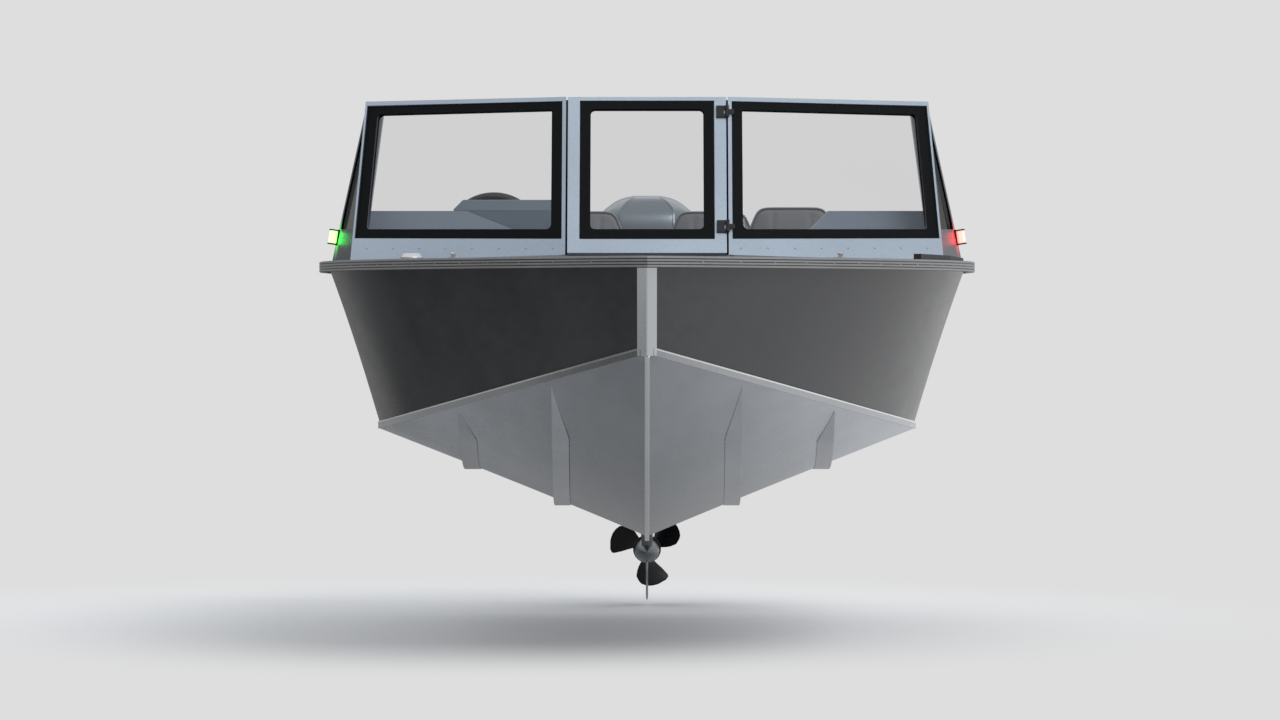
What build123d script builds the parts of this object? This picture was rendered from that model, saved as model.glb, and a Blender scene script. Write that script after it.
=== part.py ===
from build123d import *
from math import atan2, cos, hypot, radians, sin, tan
import os

# A welded aluminium fishing boat with a walk-through windshield and an outboard motor.
# The frame: +X to port, +Y to the stern, +Z up. The origin is on the centre line,
# amidships, at the height of the still water. All sizes are in millimetres.

# Hull
hull_length = 5000.0
hull_beam = 2000.0
stern_beam = 1910.0
widest_place = hull_length * 0.56
chine_beam = 1712.0
stern_chine_beam = 1700.0
chine_widest_place = hull_length * 0.62
hull_draft = 300.0
keel_level_place = hull_length * 0.64
bow_height = 591.0
stern_height = 537.0
stem_chine_height = 321.0
chine_sweep = 0.0182
chine_fall = 0.2744
stem_half = 22.0
stem_chine_half = 14.0
stem_rake = 0.61
stem_rake_ends = hull_length * 0.42
transom_rake = 0.122
transom_rake_starts = hull_length - 1400
side_plate = 4.0
bottom_plate = 5.0
deck_plate = 4.0
weld_gap = 0.3
# A distance past every piece, for shapes that only cut
beyond = 4000.0

# Rub rail, chine angle, strakes and keel bar
rail_width = 25.0
rail_height = 32.0
groove_depth = 2.5
groove_height = 3.0
chine_height = 22.0
chine_proud = 4.0
chine_leg = 10.0
strake_width = 50.0
strake_end = hull_length - 150
keel_bar_width = 14.0
keel_bar_depth = 14.0
stem_plate_half = 27.0
stem_plate_thickness = 5.0

# Decks and floors
floor_height = 20.0
bow_platform_height = 220.0
bow_platform_front = 420.0
bow_platform_back = hull_length * 0.29
hatch_width = 420.0
hatch_length = 380.0
hatch_place = hull_length * 0.218
aft_deck_height = 300.0
aft_deck_front = hull_length - 920
aft_hatch_front = aft_deck_front + 50
aft_hatch_length = 320.0
aft_hatch_inner = 450.0
aft_hatch_width = 300.0
well_front = hull_length - 500
foredeck_back = 550.0
side_deck_width = 190.0
side_deck_lip = 45.0
motor_board = 40.0
well_half = 345.0
well_floor_height = 185.0

# Consoles and the walkway between them
walkway_half = 262.0
console_front = hull_length * 0.378
console_back = console_front + 1040
console_wall = 5.0
console_deck_height = 588.0
console_deck_slope = 0.033
dash_height = 724.5
dash_front_low = console_back - 490
dash_front_high = console_back - 330
dash_back_high = console_back - 140
dash_inset = 40.0
dash_top_inner = 570.0
pod_top = 760.0
pod_half_width = 145.0
pod_front = console_back - 290

# Windshield
door_half = 242.0
door_gap = 5.5
shield_foot_aft = console_front + 22
shield_corner_inset = 70.0
shield_corner_aft = shield_foot_aft + 438
shield_height = 1072.0
shield_corner_top = 1057.0
shield_corner_top_half = 868.0
shield_rake = 250.0
wing_foot_inset = 15.0
wing_foot_aft = shield_corner_aft + 600
wing_top_aft = wing_foot_aft - 190
shield_thickness = 22.0
glass_thickness = 6.0
seal_thickness = 14.0
seal_height = 30.0
seal_width = 40.0
opening_foot = 637.0

# Seats
seat_half_place = 478.0
seat_aft_place = console_back + 575
seat_back_behind = 125.0
aft_seat_half_place = 221.0
aft_seat_place = hull_length - 790
seat_width = 386.0
seat_shoulder = 118.0
seat_back_top = 746.0
aft_seat_back_top = 736.0
seat_back_height = 340.0
seat_back_thickness = 85.0
seat_pan_thickness = 90.0
seat_depth = 400.0
seat_shell = 8.0
swivel_radius = 105.0
swivel_plate = 14.0
pedestal_radius = 38.0
pedestal_foot_radius = 150.0
pedestal_foot = 10.0

# Outboard motor
motor_notch_half = 330.0
motor_notch_height = 225.0
tilt_axis_aft = hull_length + 18
tilt_axis_height = 262.0
steer_axis_aft = hull_length + 100
propeller_axis_height = -475.0
propeller_radius = 135.0
gearcase_radius = 44.0
skeg_bottom = -649.0
cowl_top = 790.0
cowl_bottom = 345.0
cowl_wall = 5.0
king_pin_radius = 15.0

os.makedirs("parts", exist_ok=True)

PORT = 1
STARBOARD = -1


def aft(distance):
    """The Y of a place this far behind the bow."""
    return distance - hull_length / 2


def save(name, *solids):
    """Write one piece, which may be several solids, to its own file."""
    bodies = []
    for item in solids:
        bodies.extend(item.solids())
    export_step(Compound(label=name, children=bodies), f"parts/{name}.step")


def skin(sections):
    """A solid through closed sections, each a list of corners, with a fold along each strip's shorter diagonal."""
    faces = [Face(Wire.make_polygon(sections[0])), Face(Wire.make_polygon(sections[-1]))]
    for before, after in zip(sections, sections[1:]):
        for corner in range(len(before)):
            following = (corner + 1) % len(before)
            a, b = before[corner], before[following]
            c, d = after[following], after[corner]
            if (a - c).length <= (b - d).length:
                triangles = [(a, b, c), (a, c, d)]
            else:
                triangles = [(a, b, d), (b, c, d)]
            faces += [Face(Wire.make_polygon(triangle)) for triangle in triangles]
    return Solid(Shell(faces))


def block(x, y, z):
    """A box between three pairs of limits."""
    size = (x[1] - x[0], y[1] - y[0], z[1] - z[0])
    middle = ((x[0] + x[1]) / 2, (y[0] + y[1]) / 2, (z[0] + z[1]) / 2)
    return Pos(*middle) * Box(*size)


def side_cut(corners, x):
    """A plate whose outline lies in the plane of Y and Z, between two values of X."""
    face = make_face(Polyline(*[(x[0], y, z) for y, z in corners], close=True))
    return extrude(face, x[1] - x[0], dir=(1, 0, 0))


def front_cut(corners, y):
    """A plate whose outline lies in the plane of X and Z, between two values of Y."""
    face = make_face(Polyline(*[(x, y[0], z) for x, z in corners], close=True))
    return extrude(face, y[1] - y[0], dir=(0, 1, 0))


def mirrored(solid):
    return mirror(solid, about=Plane.YZ)


def rod(start, end, radius):
    """A round bar from one point to another."""
    start, end = Vector(*start), Vector(*end)
    run = end - start
    return Solid.make_cylinder(radius, run.length, Plane(origin=start, z_dir=run))


# Hull lines. Each frame is cut by a raked plane at a place along the sheer.
FRAME_SHARES = [0, 0.014, 0.03, 0.052, 0.08, 0.116, 0.16, 0.216, 0.284, 0.364, 0.456, 0.56, 0.68, 0.83, 1]


def sheer_height(place):
    """Height of the top of the rub rail this far behind the bow."""
    return bow_height + (stern_height - bow_height) * place / hull_length


def breadth(place, widest, full, stem, stern, fullness):
    """A half breadth that grows from the stem to its widest place and narrows a little to the stern."""
    if place < widest:
        return full - (full - stem) * (1 - place / widest) ** fullness
    return full - (full - stern) * ((place - widest) / (hull_length - widest)) ** 2


def frame_at(place):
    """The corners of the hull plating at one frame, and a function for other points in its plane."""
    bow_part = max(0.0, 1 - place / stem_rake_ends)
    stern_part = max(0.0, (place - transom_rake_starts) / (hull_length - transom_rake_starts))
    rake = stem_rake * bow_part ** 2 - transom_rake * stern_part
    sheer_z = sheer_height(place)

    def at(half, height):
        return Vector(half, aft(place) + rake * (sheer_z - height), height)

    sheer_half = breadth(place, widest_place, hull_beam / 2, stem_half, stern_beam / 2, 2.4)
    chine_half = breadth(place, chine_widest_place, chine_beam / 2, stem_chine_half, stern_chine_beam / 2, 1.9)
    chine_z = stem_chine_height - chine_sweep * place - chine_fall * chine_half
    depth_part = max(0.0, 1 - (place / keel_level_place) ** 0.8) if place < keel_level_place else 0.0
    keel_z = (hull_draft + stem_chine_height - chine_fall * stem_chine_half) * depth_part ** 2.4 - hull_draft
    return {"place": place, "at": at, "sheer_half": sheer_half, "sheer_z": sheer_z,
            "chine_half": chine_half, "chine_z": chine_z, "keel_z": keel_z}


frames = [frame_at(share * hull_length) for share in FRAME_SHARES]


def bottom_z(frame, half):
    """Height of the outside of the bottom plating at a half breadth."""
    return frame["keel_z"] + (frame["chine_z"] - frame["keel_z"]) * half / frame["chine_half"]


def both_sides(corners):
    """A section on the centre line: its port corners from low to high, and their mirror images."""
    others = [Vector(-c.X, c.Y, c.Z) for c in reversed(corners) if abs(c.X) > 0.001]
    return corners + others


# Bottom plating: one V from chine to chine
sections = []
for f in frames:
    at = f["at"]
    lift = bottom_plate
    sections.append([
        at(0, f["keel_z"]), at(f["chine_half"], f["chine_z"]), at(f["chine_half"], f["chine_z"] + lift),
        at(0, f["keel_z"] + lift), at(-f["chine_half"], f["chine_z"] + lift), at(-f["chine_half"], f["chine_z"]),
    ])
sections[0][0] = frames[0]["at"](0, frames[0]["chine_z"] - 8)
bottom_plating = skin(sections)
save("bottom_plating", bottom_plating)

# Topsides: one plate a side, from the chine angle up to the side deck
sections = []
for f in frames:
    at = f["at"]
    low = f["chine_z"] + chine_height + weld_gap
    high = f["sheer_z"] - deck_plate - weld_gap
    sections.append([
        at(f["chine_half"], low), at(f["sheer_half"], high),
        at(f["sheer_half"] - side_plate, high), at(f["chine_half"] - side_plate, low),
    ])
topside_port = skin(sections)
save("topsides", topside_port, mirrored(topside_port))

# Chine angles: they cap the joint of the side and the bottom and stand a little proud
sections = []
for f in frames:
    at = f["at"]
    low = f["chine_z"] + bottom_plate + weld_gap
    high = f["chine_z"] + chine_height
    inner = max(f["chine_half"] - chine_leg, keel_bar_width / 2 + 1)
    outer = f["chine_half"] + chine_proud
    lip = f["chine_z"] - 1
    sections.append([
        at(inner, low), at(f["chine_half"] + weld_gap, low), at(f["chine_half"] + weld_gap, lip),
        at(outer, lip), at(outer, high), at(inner, high),
    ])
chine_port = skin(sections)
save("chine_angles", chine_port, mirrored(chine_port))

# The space inside the plating, which floors and bulkheads are cut to
sections = []
for f in frames[2:]:
    at = f["at"]
    inset = chine_leg + 0.8
    corner_half = f["chine_half"] - inset
    corner_z = bottom_z(f, corner_half) + bottom_plate + 0.6
    shelf_z = f["chine_z"] + chine_height + 0.8
    low = f["chine_z"] + chine_height
    high = f["sheer_z"] - deck_plate - weld_gap
    slope = (f["sheer_half"] - f["chine_half"]) / (high - low)
    side = [
        at(corner_half, corner_z), at(corner_half, shelf_z),
        at(f["chine_half"] - side_plate - 0.8 + slope * 0.8, shelf_z), at(f["sheer_half"] - side_plate - 0.8, high),
    ]
    sections.append(both_sides([at(0, f["keel_z"] + bottom_plate + 0.6)] + side))
hull_void = skin(sections)

# The hull's outside below the sheer, which the strakes and the keel bar are seated on
sections = []
for f in frames:
    at = f["at"]
    low_keel = f["keel_z"] if f is not frames[0] else f["chine_z"] - 8
    sections.append(both_sides([
        at(0, low_keel), at(f["chine_half"], f["chine_z"]), at(f["chine_half"], f["chine_z"] + 250),
    ]))
outer_hull = skin(sections)

# Strakes: two a side under the bottom, each folded with a level sole and an upright outer face
# Each row is a strake: its outer edge from the centre line, and the place where it starts
STRAKES = [(291.0, 400), (577.0, 1420)]
strakes = []
for edge, start in STRAKES:
    sections = []
    for f in frames:
        if f["place"] < start:
            continue
        at = f["at"]
        width = strake_width if f["place"] > start else strake_width * 0.2
        outer = min(edge, f["chine_half"] - 4)
        inner = outer - width
        sole = bottom_z(f, inner)
        sections.append([at(inner - 1, sole + 4), at(inner, sole), at(outer, sole), at(outer, bottom_z(f, outer) + 6)])
    strake = skin(sections) - outer_hull
    strake -= block((-beyond, beyond), (aft(strake_end), beyond), (-beyond, beyond))
    strakes += [strake, mirrored(strake)]
save("bottom_strakes", *strakes)

# Keel bar: a flat bar on edge along the keel and up the forefoot
inner_line = [(f["at"](0, f["keel_z"]).Y, f["keel_z"]) for f in frames]
inner_line[0] = (frames[0]["at"](0, frames[0]["chine_z"] - 8).Y, frames[0]["chine_z"] - 8)
outer_line = []
for number, (y, z) in enumerate(inner_line):
    before = inner_line[max(0, number - 1)]
    after = inner_line[min(len(inner_line) - 1, number + 1)]
    run = hypot(after[0] - before[0], after[1] - before[1])
    lean_y, lean_z = (after[1] - before[1]) / run, -(after[0] - before[0]) / run
    outer_line.append((y + lean_y * keel_bar_depth, z + lean_z * keel_bar_depth))
raised_line = [(y + 1, z + 8) for y, z in inner_line]
keel_bar = side_cut(raised_line + outer_line[::-1], (-keel_bar_width / 2, keel_bar_width / 2)) - outer_hull

# Stem plate: a folded cap over the joint of the topsides
stem = frames[0]
sections = []
STEM_ENDS = [(stem["chine_z"] + chine_height + 1, stem_chine_half + 1, 15.0), (bow_height - rail_height - 1, stem_half, 2.5)]
for z, hull_half, sweep in STEM_ENDS:
    y = stem["at"](0, z).Y
    half = stem_plate_half
    nose = 14.0
    sections.append([
        Vector(0, y - nose, z), Vector(half, y + sweep - stem_plate_thickness, z), Vector(half, y + sweep, z),
        Vector(hull_half, y - 0.5, z), Vector(0, y - nose + stem_plate_thickness, z), Vector(-hull_half, y - 0.5, z),
        Vector(-half, y + sweep, z), Vector(-half, y + sweep - stem_plate_thickness, z),
    ])
stem_plate = skin(sections)
save("stem_and_keel", keel_bar, stem_plate)

# Rub rails: a grooved extrusion round each side, mitred at the bow
rail_profile = [(0, 0), (rail_width - 3, 0), (rail_width, -3)]
for groove in (1, 2, 3):
    middle = -rail_height / 4 * groove
    half = groove_height / 2
    rail_profile += [
        (rail_width, middle + half), (rail_width - groove_depth, middle + half / 2),
        (rail_width - groove_depth, middle - half / 2), (rail_width, middle - half),
    ]
rail_profile += [(rail_width, -rail_height + 2), (rail_width - 2, -rail_height), (0, -rail_height)]


def rail_section(x, y, out_x, out_y, top):
    gap = 2 * weld_gap
    return [Vector(x + out_x * (out + gap), y + out_y * (out + gap), top + up) for out, up in rail_profile]


sections = []
for number, f in enumerate(frames):
    before = frames[max(0, number - 1)]
    after = frames[min(len(frames) - 1, number + 1)]
    run_x = after["sheer_half"] - before["sheer_half"]
    run_y = after["place"] - before["place"]
    run = hypot(run_x, run_y)
    out_x, out_y = run_y / run, -run_x / run
    if number == 0:
        tip = aft(f["place"]) + f["sheer_half"] * out_y / out_x
        sections.append(rail_section(weld_gap, tip, 0.0, -1.0 / out_x, f["sheer_z"]))
    sections.append(rail_section(f["sheer_half"], aft(f["place"]), out_x, out_y, f["sheer_z"]))
rail_port = skin(sections)
save("rub_rails", rail_port, mirrored(rail_port))


# Side decks: a plate along each side with a lip turned down on its inner edge
def deck_inner(f):
    """Half breadth of the inner edge of the side deck."""
    share = min(1.0, 0.55 + 1.5 * f["place"] / hull_length)
    return f["sheer_half"] - weld_gap - side_deck_width * share


sections = []
for f in frames:
    if f["place"] < foredeck_back:
        continue
    at = f["at"]
    outer, inner, top = f["sheer_half"] - weld_gap, deck_inner(f), f["sheer_z"]
    sections.append([
        at(outer, top), at(outer, top - deck_plate), at(inner + deck_plate, top - deck_plate),
        at(inner + deck_plate, top - side_deck_lip), at(inner, top - side_deck_lip), at(inner, top),
    ])
side_deck_port = skin(sections)

# Rod holders: flush tubes let into the side decks, leaning back
ROD_HOLDER_PLACES = [hull_length - 1750, hull_length - 750]
rod_tube_radius = 25.0
rod_bore_radius = 20.5
rod_tube_length = 210.0
rod_flange_radius = 36.0
rod_lean = 15.0
rod_from_lip = 80.0
rod_holders = []
for place in ROD_HOLDER_PLACES:
    top = sheer_height(place)
    half = deck_inner(frame_at(place)) + rod_from_lip
    spot = Pos(half, aft(place), top) * Rot(-rod_lean, 0, 0)
    tube = spot * Pos(0, 0, -rod_tube_length / 2 + 6) * Cylinder(rod_tube_radius, rod_tube_length)
    flange = Pos(half, aft(place), top + 0.8 + 2) * Cylinder(rod_flange_radius, 4)
    bore = spot * Pos(0, 0, -rod_tube_length / 2 + 16) * Cylinder(rod_bore_radius, rod_tube_length)
    above = block((half - 60, half + 60), (aft(place) - 60, aft(place) + 60), (top + 4.8, top + 60))
    rod_holders.append((tube + flange) - above - bore)
    side_deck_port -= spot * Pos(0, 0, -20) * Cylinder(rod_tube_radius + 0.5, 80)
save("rod_holders", *rod_holders, *[mirrored(holder) for holder in rod_holders])

# Foredeck: a plate across the bow with a lip at its back edge
bow_frames = [f for f in frames if f["place"] <= foredeck_back + 40]
sections = []
for f in bow_frames:
    at = f["at"]
    outer, top = f["sheer_half"] - weld_gap, f["sheer_z"]
    sections.append([at(-outer, top), at(outer, top), at(outer, top - deck_plate), at(-outer, top - deck_plate)])
foredeck_edge = aft(bow_frames[-1]["place"])
foredeck = skin(sections)
lip_top = sheer_height(bow_frames[-1]["place"]) - deck_plate
lip_half = bow_frames[-1]["sheer_half"] - 24
lip = block((-lip_half, lip_half), (foredeck_edge - 9, foredeck_edge - 5), (lip_top - 50, lip_top + 1))
foredeck += (lip & hull_void) + (lip & block((-lip_half, lip_half), (-beyond, 0), (lip_top - 0.5, lip_top + 1)))
save("foredeck", foredeck)

# The region between the side decks, which consoles and the stern deck are cut to
sections = []
for f in frames:
    if f["place"] < foredeck_back:
        continue
    at = f["at"]
    inner = deck_inner(f) - weld_gap
    sections.append([at(-inner, -400), at(inner, -400), at(inner, f["sheer_z"] + 30), at(-inner, f["sheer_z"] + 30)])
between_decks = skin(sections)

# Cockpit floor
floor_front = bow_platform_back
floor_slab = block((-beyond, beyond), (aft(floor_front), aft(aft_deck_front)), (floor_height - deck_plate, floor_height))
cockpit_floor = floor_slab & hull_void
save("cockpit_floor", cockpit_floor)

# Bow platform: a raised deck with a step at its back and a hatch opening
platform_top = bow_platform_height
platform = side_cut([
    (aft(bow_platform_front), platform_top), (aft(bow_platform_back) - weld_gap, platform_top),
    (aft(bow_platform_back) - weld_gap, floor_height), (aft(bow_platform_back) - weld_gap - deck_plate, floor_height),
    (aft(bow_platform_back) - weld_gap - deck_plate, platform_top - deck_plate),
    (aft(bow_platform_front), platform_top - deck_plate),
], (-beyond, beyond))
hatch_x = (-hatch_width / 2, hatch_width / 2)
hatch_y = (aft(hatch_place - hatch_length / 2), aft(hatch_place + hatch_length / 2))
bow_platform = (platform & hull_void) - block(hatch_x, hatch_y, (platform_top - 50, platform_top + 50))


def hatch_frame(x, y, top):
    """The drained frame under a hatch opening."""
    frame = block((x[0] - 12, x[1] + 12), (y[0] - 12, y[1] + 12), (top - deck_plate - 12, top - deck_plate))
    return frame - block((x[0] + 14, x[1] - 14), (y[0] + 14, y[1] - 14), (top - 50, top + 50))


def hatch_plate(x, y, top):
    """A lid that lies in its frame, a little proud of the deck."""
    lid = block((x[0] + lid_gap, x[1] - lid_gap), (y[0] + lid_gap, y[1] - lid_gap), (top - deck_plate + weld_gap, top + lid_proud))
    return chamfer(lid.edges().filter_by(Axis.Z), 12)


def hatch_hinges(x, edge, top, towards_lid):
    """Two strap hinges at a hatch's edge, as the leaves on the deck and those on the lid."""
    on_deck, on_lid = [], []
    pin_y, pin_z = edge + towards_lid * lid_gap / 2, top + hinge_leaf + hinge_lift
    for share in (0.2, 0.8):
        middle = x[0] + (x[1] - x[0]) * share
        for low, high, side, leaves in ((-20, -7, -1, on_deck), (-6.5, 6.5, 1, on_lid), (7, 20, -1, on_deck)):
            barrel = rod((middle + low, pin_y, pin_z), (middle + high, pin_y, pin_z), hinge_barrel)
            ends = sorted((pin_y, pin_y + side * towards_lid * 28))
            foot = top if side < 0 else top + lid_proud
            leaf = block((middle + low, middle + high), ends, (foot, foot + hinge_leaf))
            bore = rod((middle + low, pin_y, pin_z), (middle + high, pin_y, pin_z), hinge_barrel - 1)
            leaves.append((leaf - bore) + barrel)
    return on_deck, on_lid


lid_gap = 5.0
lid_proud = 1.0
hinge_leaf = 2.5
hinge_barrel = 4.0
hinge_lift = 2.2
deck_leaves, lid_leaves = hatch_hinges(hatch_x, hatch_y[0], platform_top, 1)
bow_platform += hatch_frame(hatch_x, hatch_y, platform_top)
bow_lid = hatch_plate(hatch_x, hatch_y, platform_top)
for leaf in deck_leaves:
    bow_platform += leaf
for leaf in lid_leaves:
    bow_lid += leaf
save("bow_platform", bow_platform)
save("bow_hatch_lid", bow_lid)

# Transom: a plate across the stern with a thick board inside it for the motor, and a low notch
stern = frames[-1]["at"]


def transom_y(height, inward=0.0):
    """The Y of the transom's outer face at a height, or of a plane this far inside it."""
    return stern(0, height).Y - inward


def transom_slab(inner, outer, low, high, half):
    """A raked slab between two distances inside the transom's outer face."""
    return side_cut([
        (transom_y(low, outer), low), (transom_y(high, outer), high),
        (transom_y(high, inner), high), (transom_y(low, inner), low),
    ], (-half, half))


board_half = motor_notch_half - 20
plate_top = stern_height - deck_plate - 1.2
transom = transom_slab(bottom_plate, 0, -beyond, plate_top, beyond) & hull_void
board = transom_slab(bottom_plate + motor_board, bottom_plate, -60, motor_notch_height, board_half) & hull_void
notch = block((-motor_notch_half, motor_notch_half), (aft(well_front), beyond), (motor_notch_height, beyond))
transom = (transom - notch) + board

# Stern eyes: plates on the transom for tie-downs or a tow line
stern_eye_half = 620.0
stern_eye_height = 200.0
stern_eye_radius = 12.0
stern_eye_thickness = 12.0
stern_eye_reach = 34.0
stern_eye_y = transom_y(stern_eye_height) + stern_eye_reach
stern_eyes = []
for side in (STARBOARD, PORT):
    x = side * stern_eye_half
    eye = rod((x - stern_eye_thickness / 2, stern_eye_y, stern_eye_height),
              (x + stern_eye_thickness / 2, stern_eye_y, stern_eye_height), 26)
    low, high = stern_eye_height - 26, stern_eye_height + 26
    eye += side_cut([
        (transom_y(low) + weld_gap, low), (stern_eye_y, low), (stern_eye_y, high), (transom_y(high) + weld_gap, high),
    ], (x - stern_eye_thickness / 2, x + stern_eye_thickness / 2))
    eye += transom_slab(-6, -weld_gap, stern_eye_height - 45, stern_eye_height + 45, 30).moved(Location((x, 0, 0)))
    eye -= rod((x - 50, stern_eye_y, stern_eye_height), (x + 50, stern_eye_y, stern_eye_height), stern_eye_radius)
    stern_eyes.append(eye)
save("transom", transom)

# The side decks' lips stop short of the transom
stern_cut = transom_slab(bottom_plate + 0.5, -60, 200, sheer_height(hull_length) - deck_plate - 0.02, beyond)
side_deck_port -= stern_cut
save("side_decks", side_deck_port, mirrored(side_deck_port))

# Splash well: a tray ahead of the motor, with the stern decks at its sides and a bulkhead in front
well_top = stern_height - deck_plate - 2
under_top = well_top - deck_plate
wall_half = well_half + deck_plate
well = front_cut([
    (-beyond, well_top), (-well_half, well_top), (-well_half, well_floor_height), (well_half, well_floor_height),
    (well_half, well_top), (beyond, well_top), (beyond, under_top), (wall_half, under_top),
    (wall_half, well_floor_height - deck_plate), (-wall_half, well_floor_height - deck_plate),
    (-wall_half, under_top), (-beyond, under_top),
], (aft(well_front), aft(hull_length)))
bulkhead_low = aft_deck_height - deck_plate - 30
well += block((-beyond, beyond), (aft(well_front), aft(well_front) + deck_plate), (bulkhead_low, well_top))
well -= block((-well_half, well_half), (aft(well_front) + deck_plate, beyond), (well_floor_height, beyond))
well -= transom_slab(bottom_plate + 0.5, -200, -400, 900, beyond)
well -= transom_slab(bottom_plate + motor_board + 0.5, -200, -400, motor_notch_height + 0.4, board_half + 0.5)
well = well & between_decks
save("splash_well", well)

# Aft deck: a low box across the cockpit that carries the two stern seats, with a hatch to port
deck_front, deck_back = aft(aft_deck_front) + weld_gap, aft(well_front) - weld_gap
aft_deck = side_cut([
    (deck_front, floor_height), (deck_front, aft_deck_height), (deck_back, aft_deck_height),
    (deck_back, aft_deck_height - deck_plate), (deck_front + deck_plate, aft_deck_height - deck_plate),
    (deck_front + deck_plate, floor_height),
], (-beyond, beyond))


aft_hatch_x = (aft_hatch_inner, aft_hatch_inner + aft_hatch_width)
aft_hatch_y = (aft(aft_hatch_front), aft(aft_hatch_front + aft_hatch_length))
aft_deck = (aft_deck & hull_void) - block(aft_hatch_x, aft_hatch_y, (aft_deck_height - 50, aft_deck_height + 50))
aft_deck += hatch_frame(aft_hatch_x, aft_hatch_y, aft_deck_height)
aft_lid = hatch_plate(aft_hatch_x, aft_hatch_y, aft_deck_height)
deck_leaves, lid_leaves = hatch_hinges(aft_hatch_x, aft_hatch_y[1], aft_deck_height, -1)
for leaf in deck_leaves:
    aft_deck += leaf
for leaf in lid_leaves:
    aft_lid += leaf
save("aft_deck", aft_deck)
save("aft_hatch_lid", aft_lid)


# Consoles: hollow boxes either side of the walkway, with a raised dash behind the windshield
def deck_z(half):
    """Height of the console's top plate at a half breadth."""
    return console_deck_height - console_deck_slope * (half - walkway_half)


shield_corner_half = frame_at(shield_corner_aft)["sheer_half"] - shield_corner_inset
dash_outer = shield_corner_half - dash_inset
dash_lip = 545.0
dash_root = 500.0
dash_slope = atan2(dash_height - dash_lip, console_back - dash_back_high)


def dash_face_y(z):
    """The Y of the dash's sloping face at a height."""
    return aft(dash_back_high) + (dash_height - z) / tan(dash_slope)


def console_shell(half_inner, half_outer, y_front, y_back, low, drop):
    """A box whose top slopes down outboard like the console's deck."""
    return front_cut([
        (half_inner, low), (half_outer, low),
        (half_outer, deck_z(half_outer) - drop), (half_inner, deck_z(half_inner) - drop),
    ], (y_front, y_back))


def console(dash_foot_inner, dash_foot_height):
    """A port-side console, with the inner end of its dash cut on a slant."""
    wall = console_wall
    front, back = aft(console_front), aft(console_back)
    under_sheer = sheer_height(console_back) - side_deck_lip - 1
    room = (hull_void & block((0, beyond), (-beyond, beyond), (-beyond, under_sheer))) + (
        between_decks & block((0, beyond), (-beyond, beyond), (under_sheer, dash_height)))
    outside = console_shell(walkway_half, beyond, front, back, floor_height + 0.3, 0) & room
    inside = console_shell(walkway_half + wall, beyond + 10, front + wall, back + 10, floor_height - 5, wall)
    dash_side = side_cut([
        (aft(dash_front_low), deck_z(dash_outer)), (aft(dash_front_high), dash_height),
        (aft(dash_back_high), dash_height), (back, dash_lip), (back - 30, dash_lip),
        (aft(dash_back_high) - 60, deck_z(dash_outer)),
    ], (0, beyond))
    dash_end = front_cut([
        (dash_foot_inner, dash_root), (dash_foot_inner, dash_foot_height), (dash_top_inner, dash_height),
        (dash_outer, dash_height), (dash_outer, dash_root),
    ], (0, beyond))
    over_deck = sheer_height(dash_front_low) + 0.4
    lower = block((0, beyond), (-beyond, beyond), (0, over_deck + 1)) & between_decks
    upper = block((0, beyond), (-beyond, beyond), (over_deck, beyond))
    behind_face = side_cut([
        (dash_face_y(dash_lip), dash_lip), (dash_face_y(dash_height), dash_height),
        (beyond, dash_height), (beyond, dash_lip),
    ], (0, beyond))
    ceiling = dash_height - wall
    hollow_side = side_cut([
        (aft(dash_front_low) + 7, dash_root), (aft(dash_front_low) + 7, deck_z(dash_outer)), (aft(dash_front_high) + 2, ceiling),
        (aft(dash_back_high) - 3, ceiling), (back - 7, dash_lip), (back - 7, dash_root),
    ], (0, beyond))
    hollow_end = front_cut([
        (dash_foot_inner + 7, dash_root), (dash_foot_inner + 7, dash_foot_height - 2), (dash_top_inner + 2, ceiling),
        (dash_outer - wall, ceiling), (dash_outer - wall, dash_root),
    ], (0, beyond))
    dash = dash_side & dash_end & (lower + upper)
    return (outside - inside - behind_face) + dash - (hollow_side & hollow_end)


port_dash_inner = 430.0
helm_dash_foot = 604.0
console_port = console(port_dash_inner, deck_z(port_dash_inner) - 2)
console_starboard = mirrored(console(walkway_half, helm_dash_foot))
save("console_starboard", console_starboard)

# Glove box in the port dash, with a drop-down door
glove_x = (560.0, 780.0)
glove_z = (596.0, 680.0)
glove_gap = 5.0
glove_foot_gap = 9.0
glove_back = console_back - 290
glove_box = block((glove_x[0] - 4, glove_x[1] + 4), (aft(glove_back), beyond), (glove_z[0] - 4, glove_z[1] + 4))
behind_glove = side_cut([
    (dash_face_y(dash_root) - 3, dash_root), (dash_face_y(dash_height) - 3, dash_height),
    (beyond, dash_height), (beyond, dash_root),
], (0, beyond))
console_port += glove_box - behind_glove
console_port -= block(glove_x, (aft(glove_back) + 4, beyond), glove_z)
glove_low, glove_high = glove_z[0] + glove_foot_gap, glove_z[1] - glove_gap
glove_pin = 3.0
glove_pin_y, glove_pin_z = dash_face_y(glove_low) - 10, glove_low + 5
glove_door = side_cut([
    (dash_face_y(glove_low) - 9, glove_low), (dash_face_y(glove_low) - 1, glove_low),
    (dash_face_y(glove_high) - 1, glove_high), (dash_face_y(glove_high) - 9, glove_high),
], (glove_x[0] + glove_gap, glove_x[1] - glove_gap))
glove_door += rod((glove_x[0] - 3, glove_pin_y, glove_pin_z), (glove_x[1] + 3, glove_pin_y, glove_pin_z), glove_pin)
save("glovebox_door", glove_door)
bore_x = (glove_x[0] - 3.2, glove_x[1] + 3.2)
console_port -= rod((bore_x[0], glove_pin_y, glove_pin_z), (bore_x[1], glove_pin_y, glove_pin_z), glove_pin + 0.05)
save("console_port", console_port)

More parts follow.
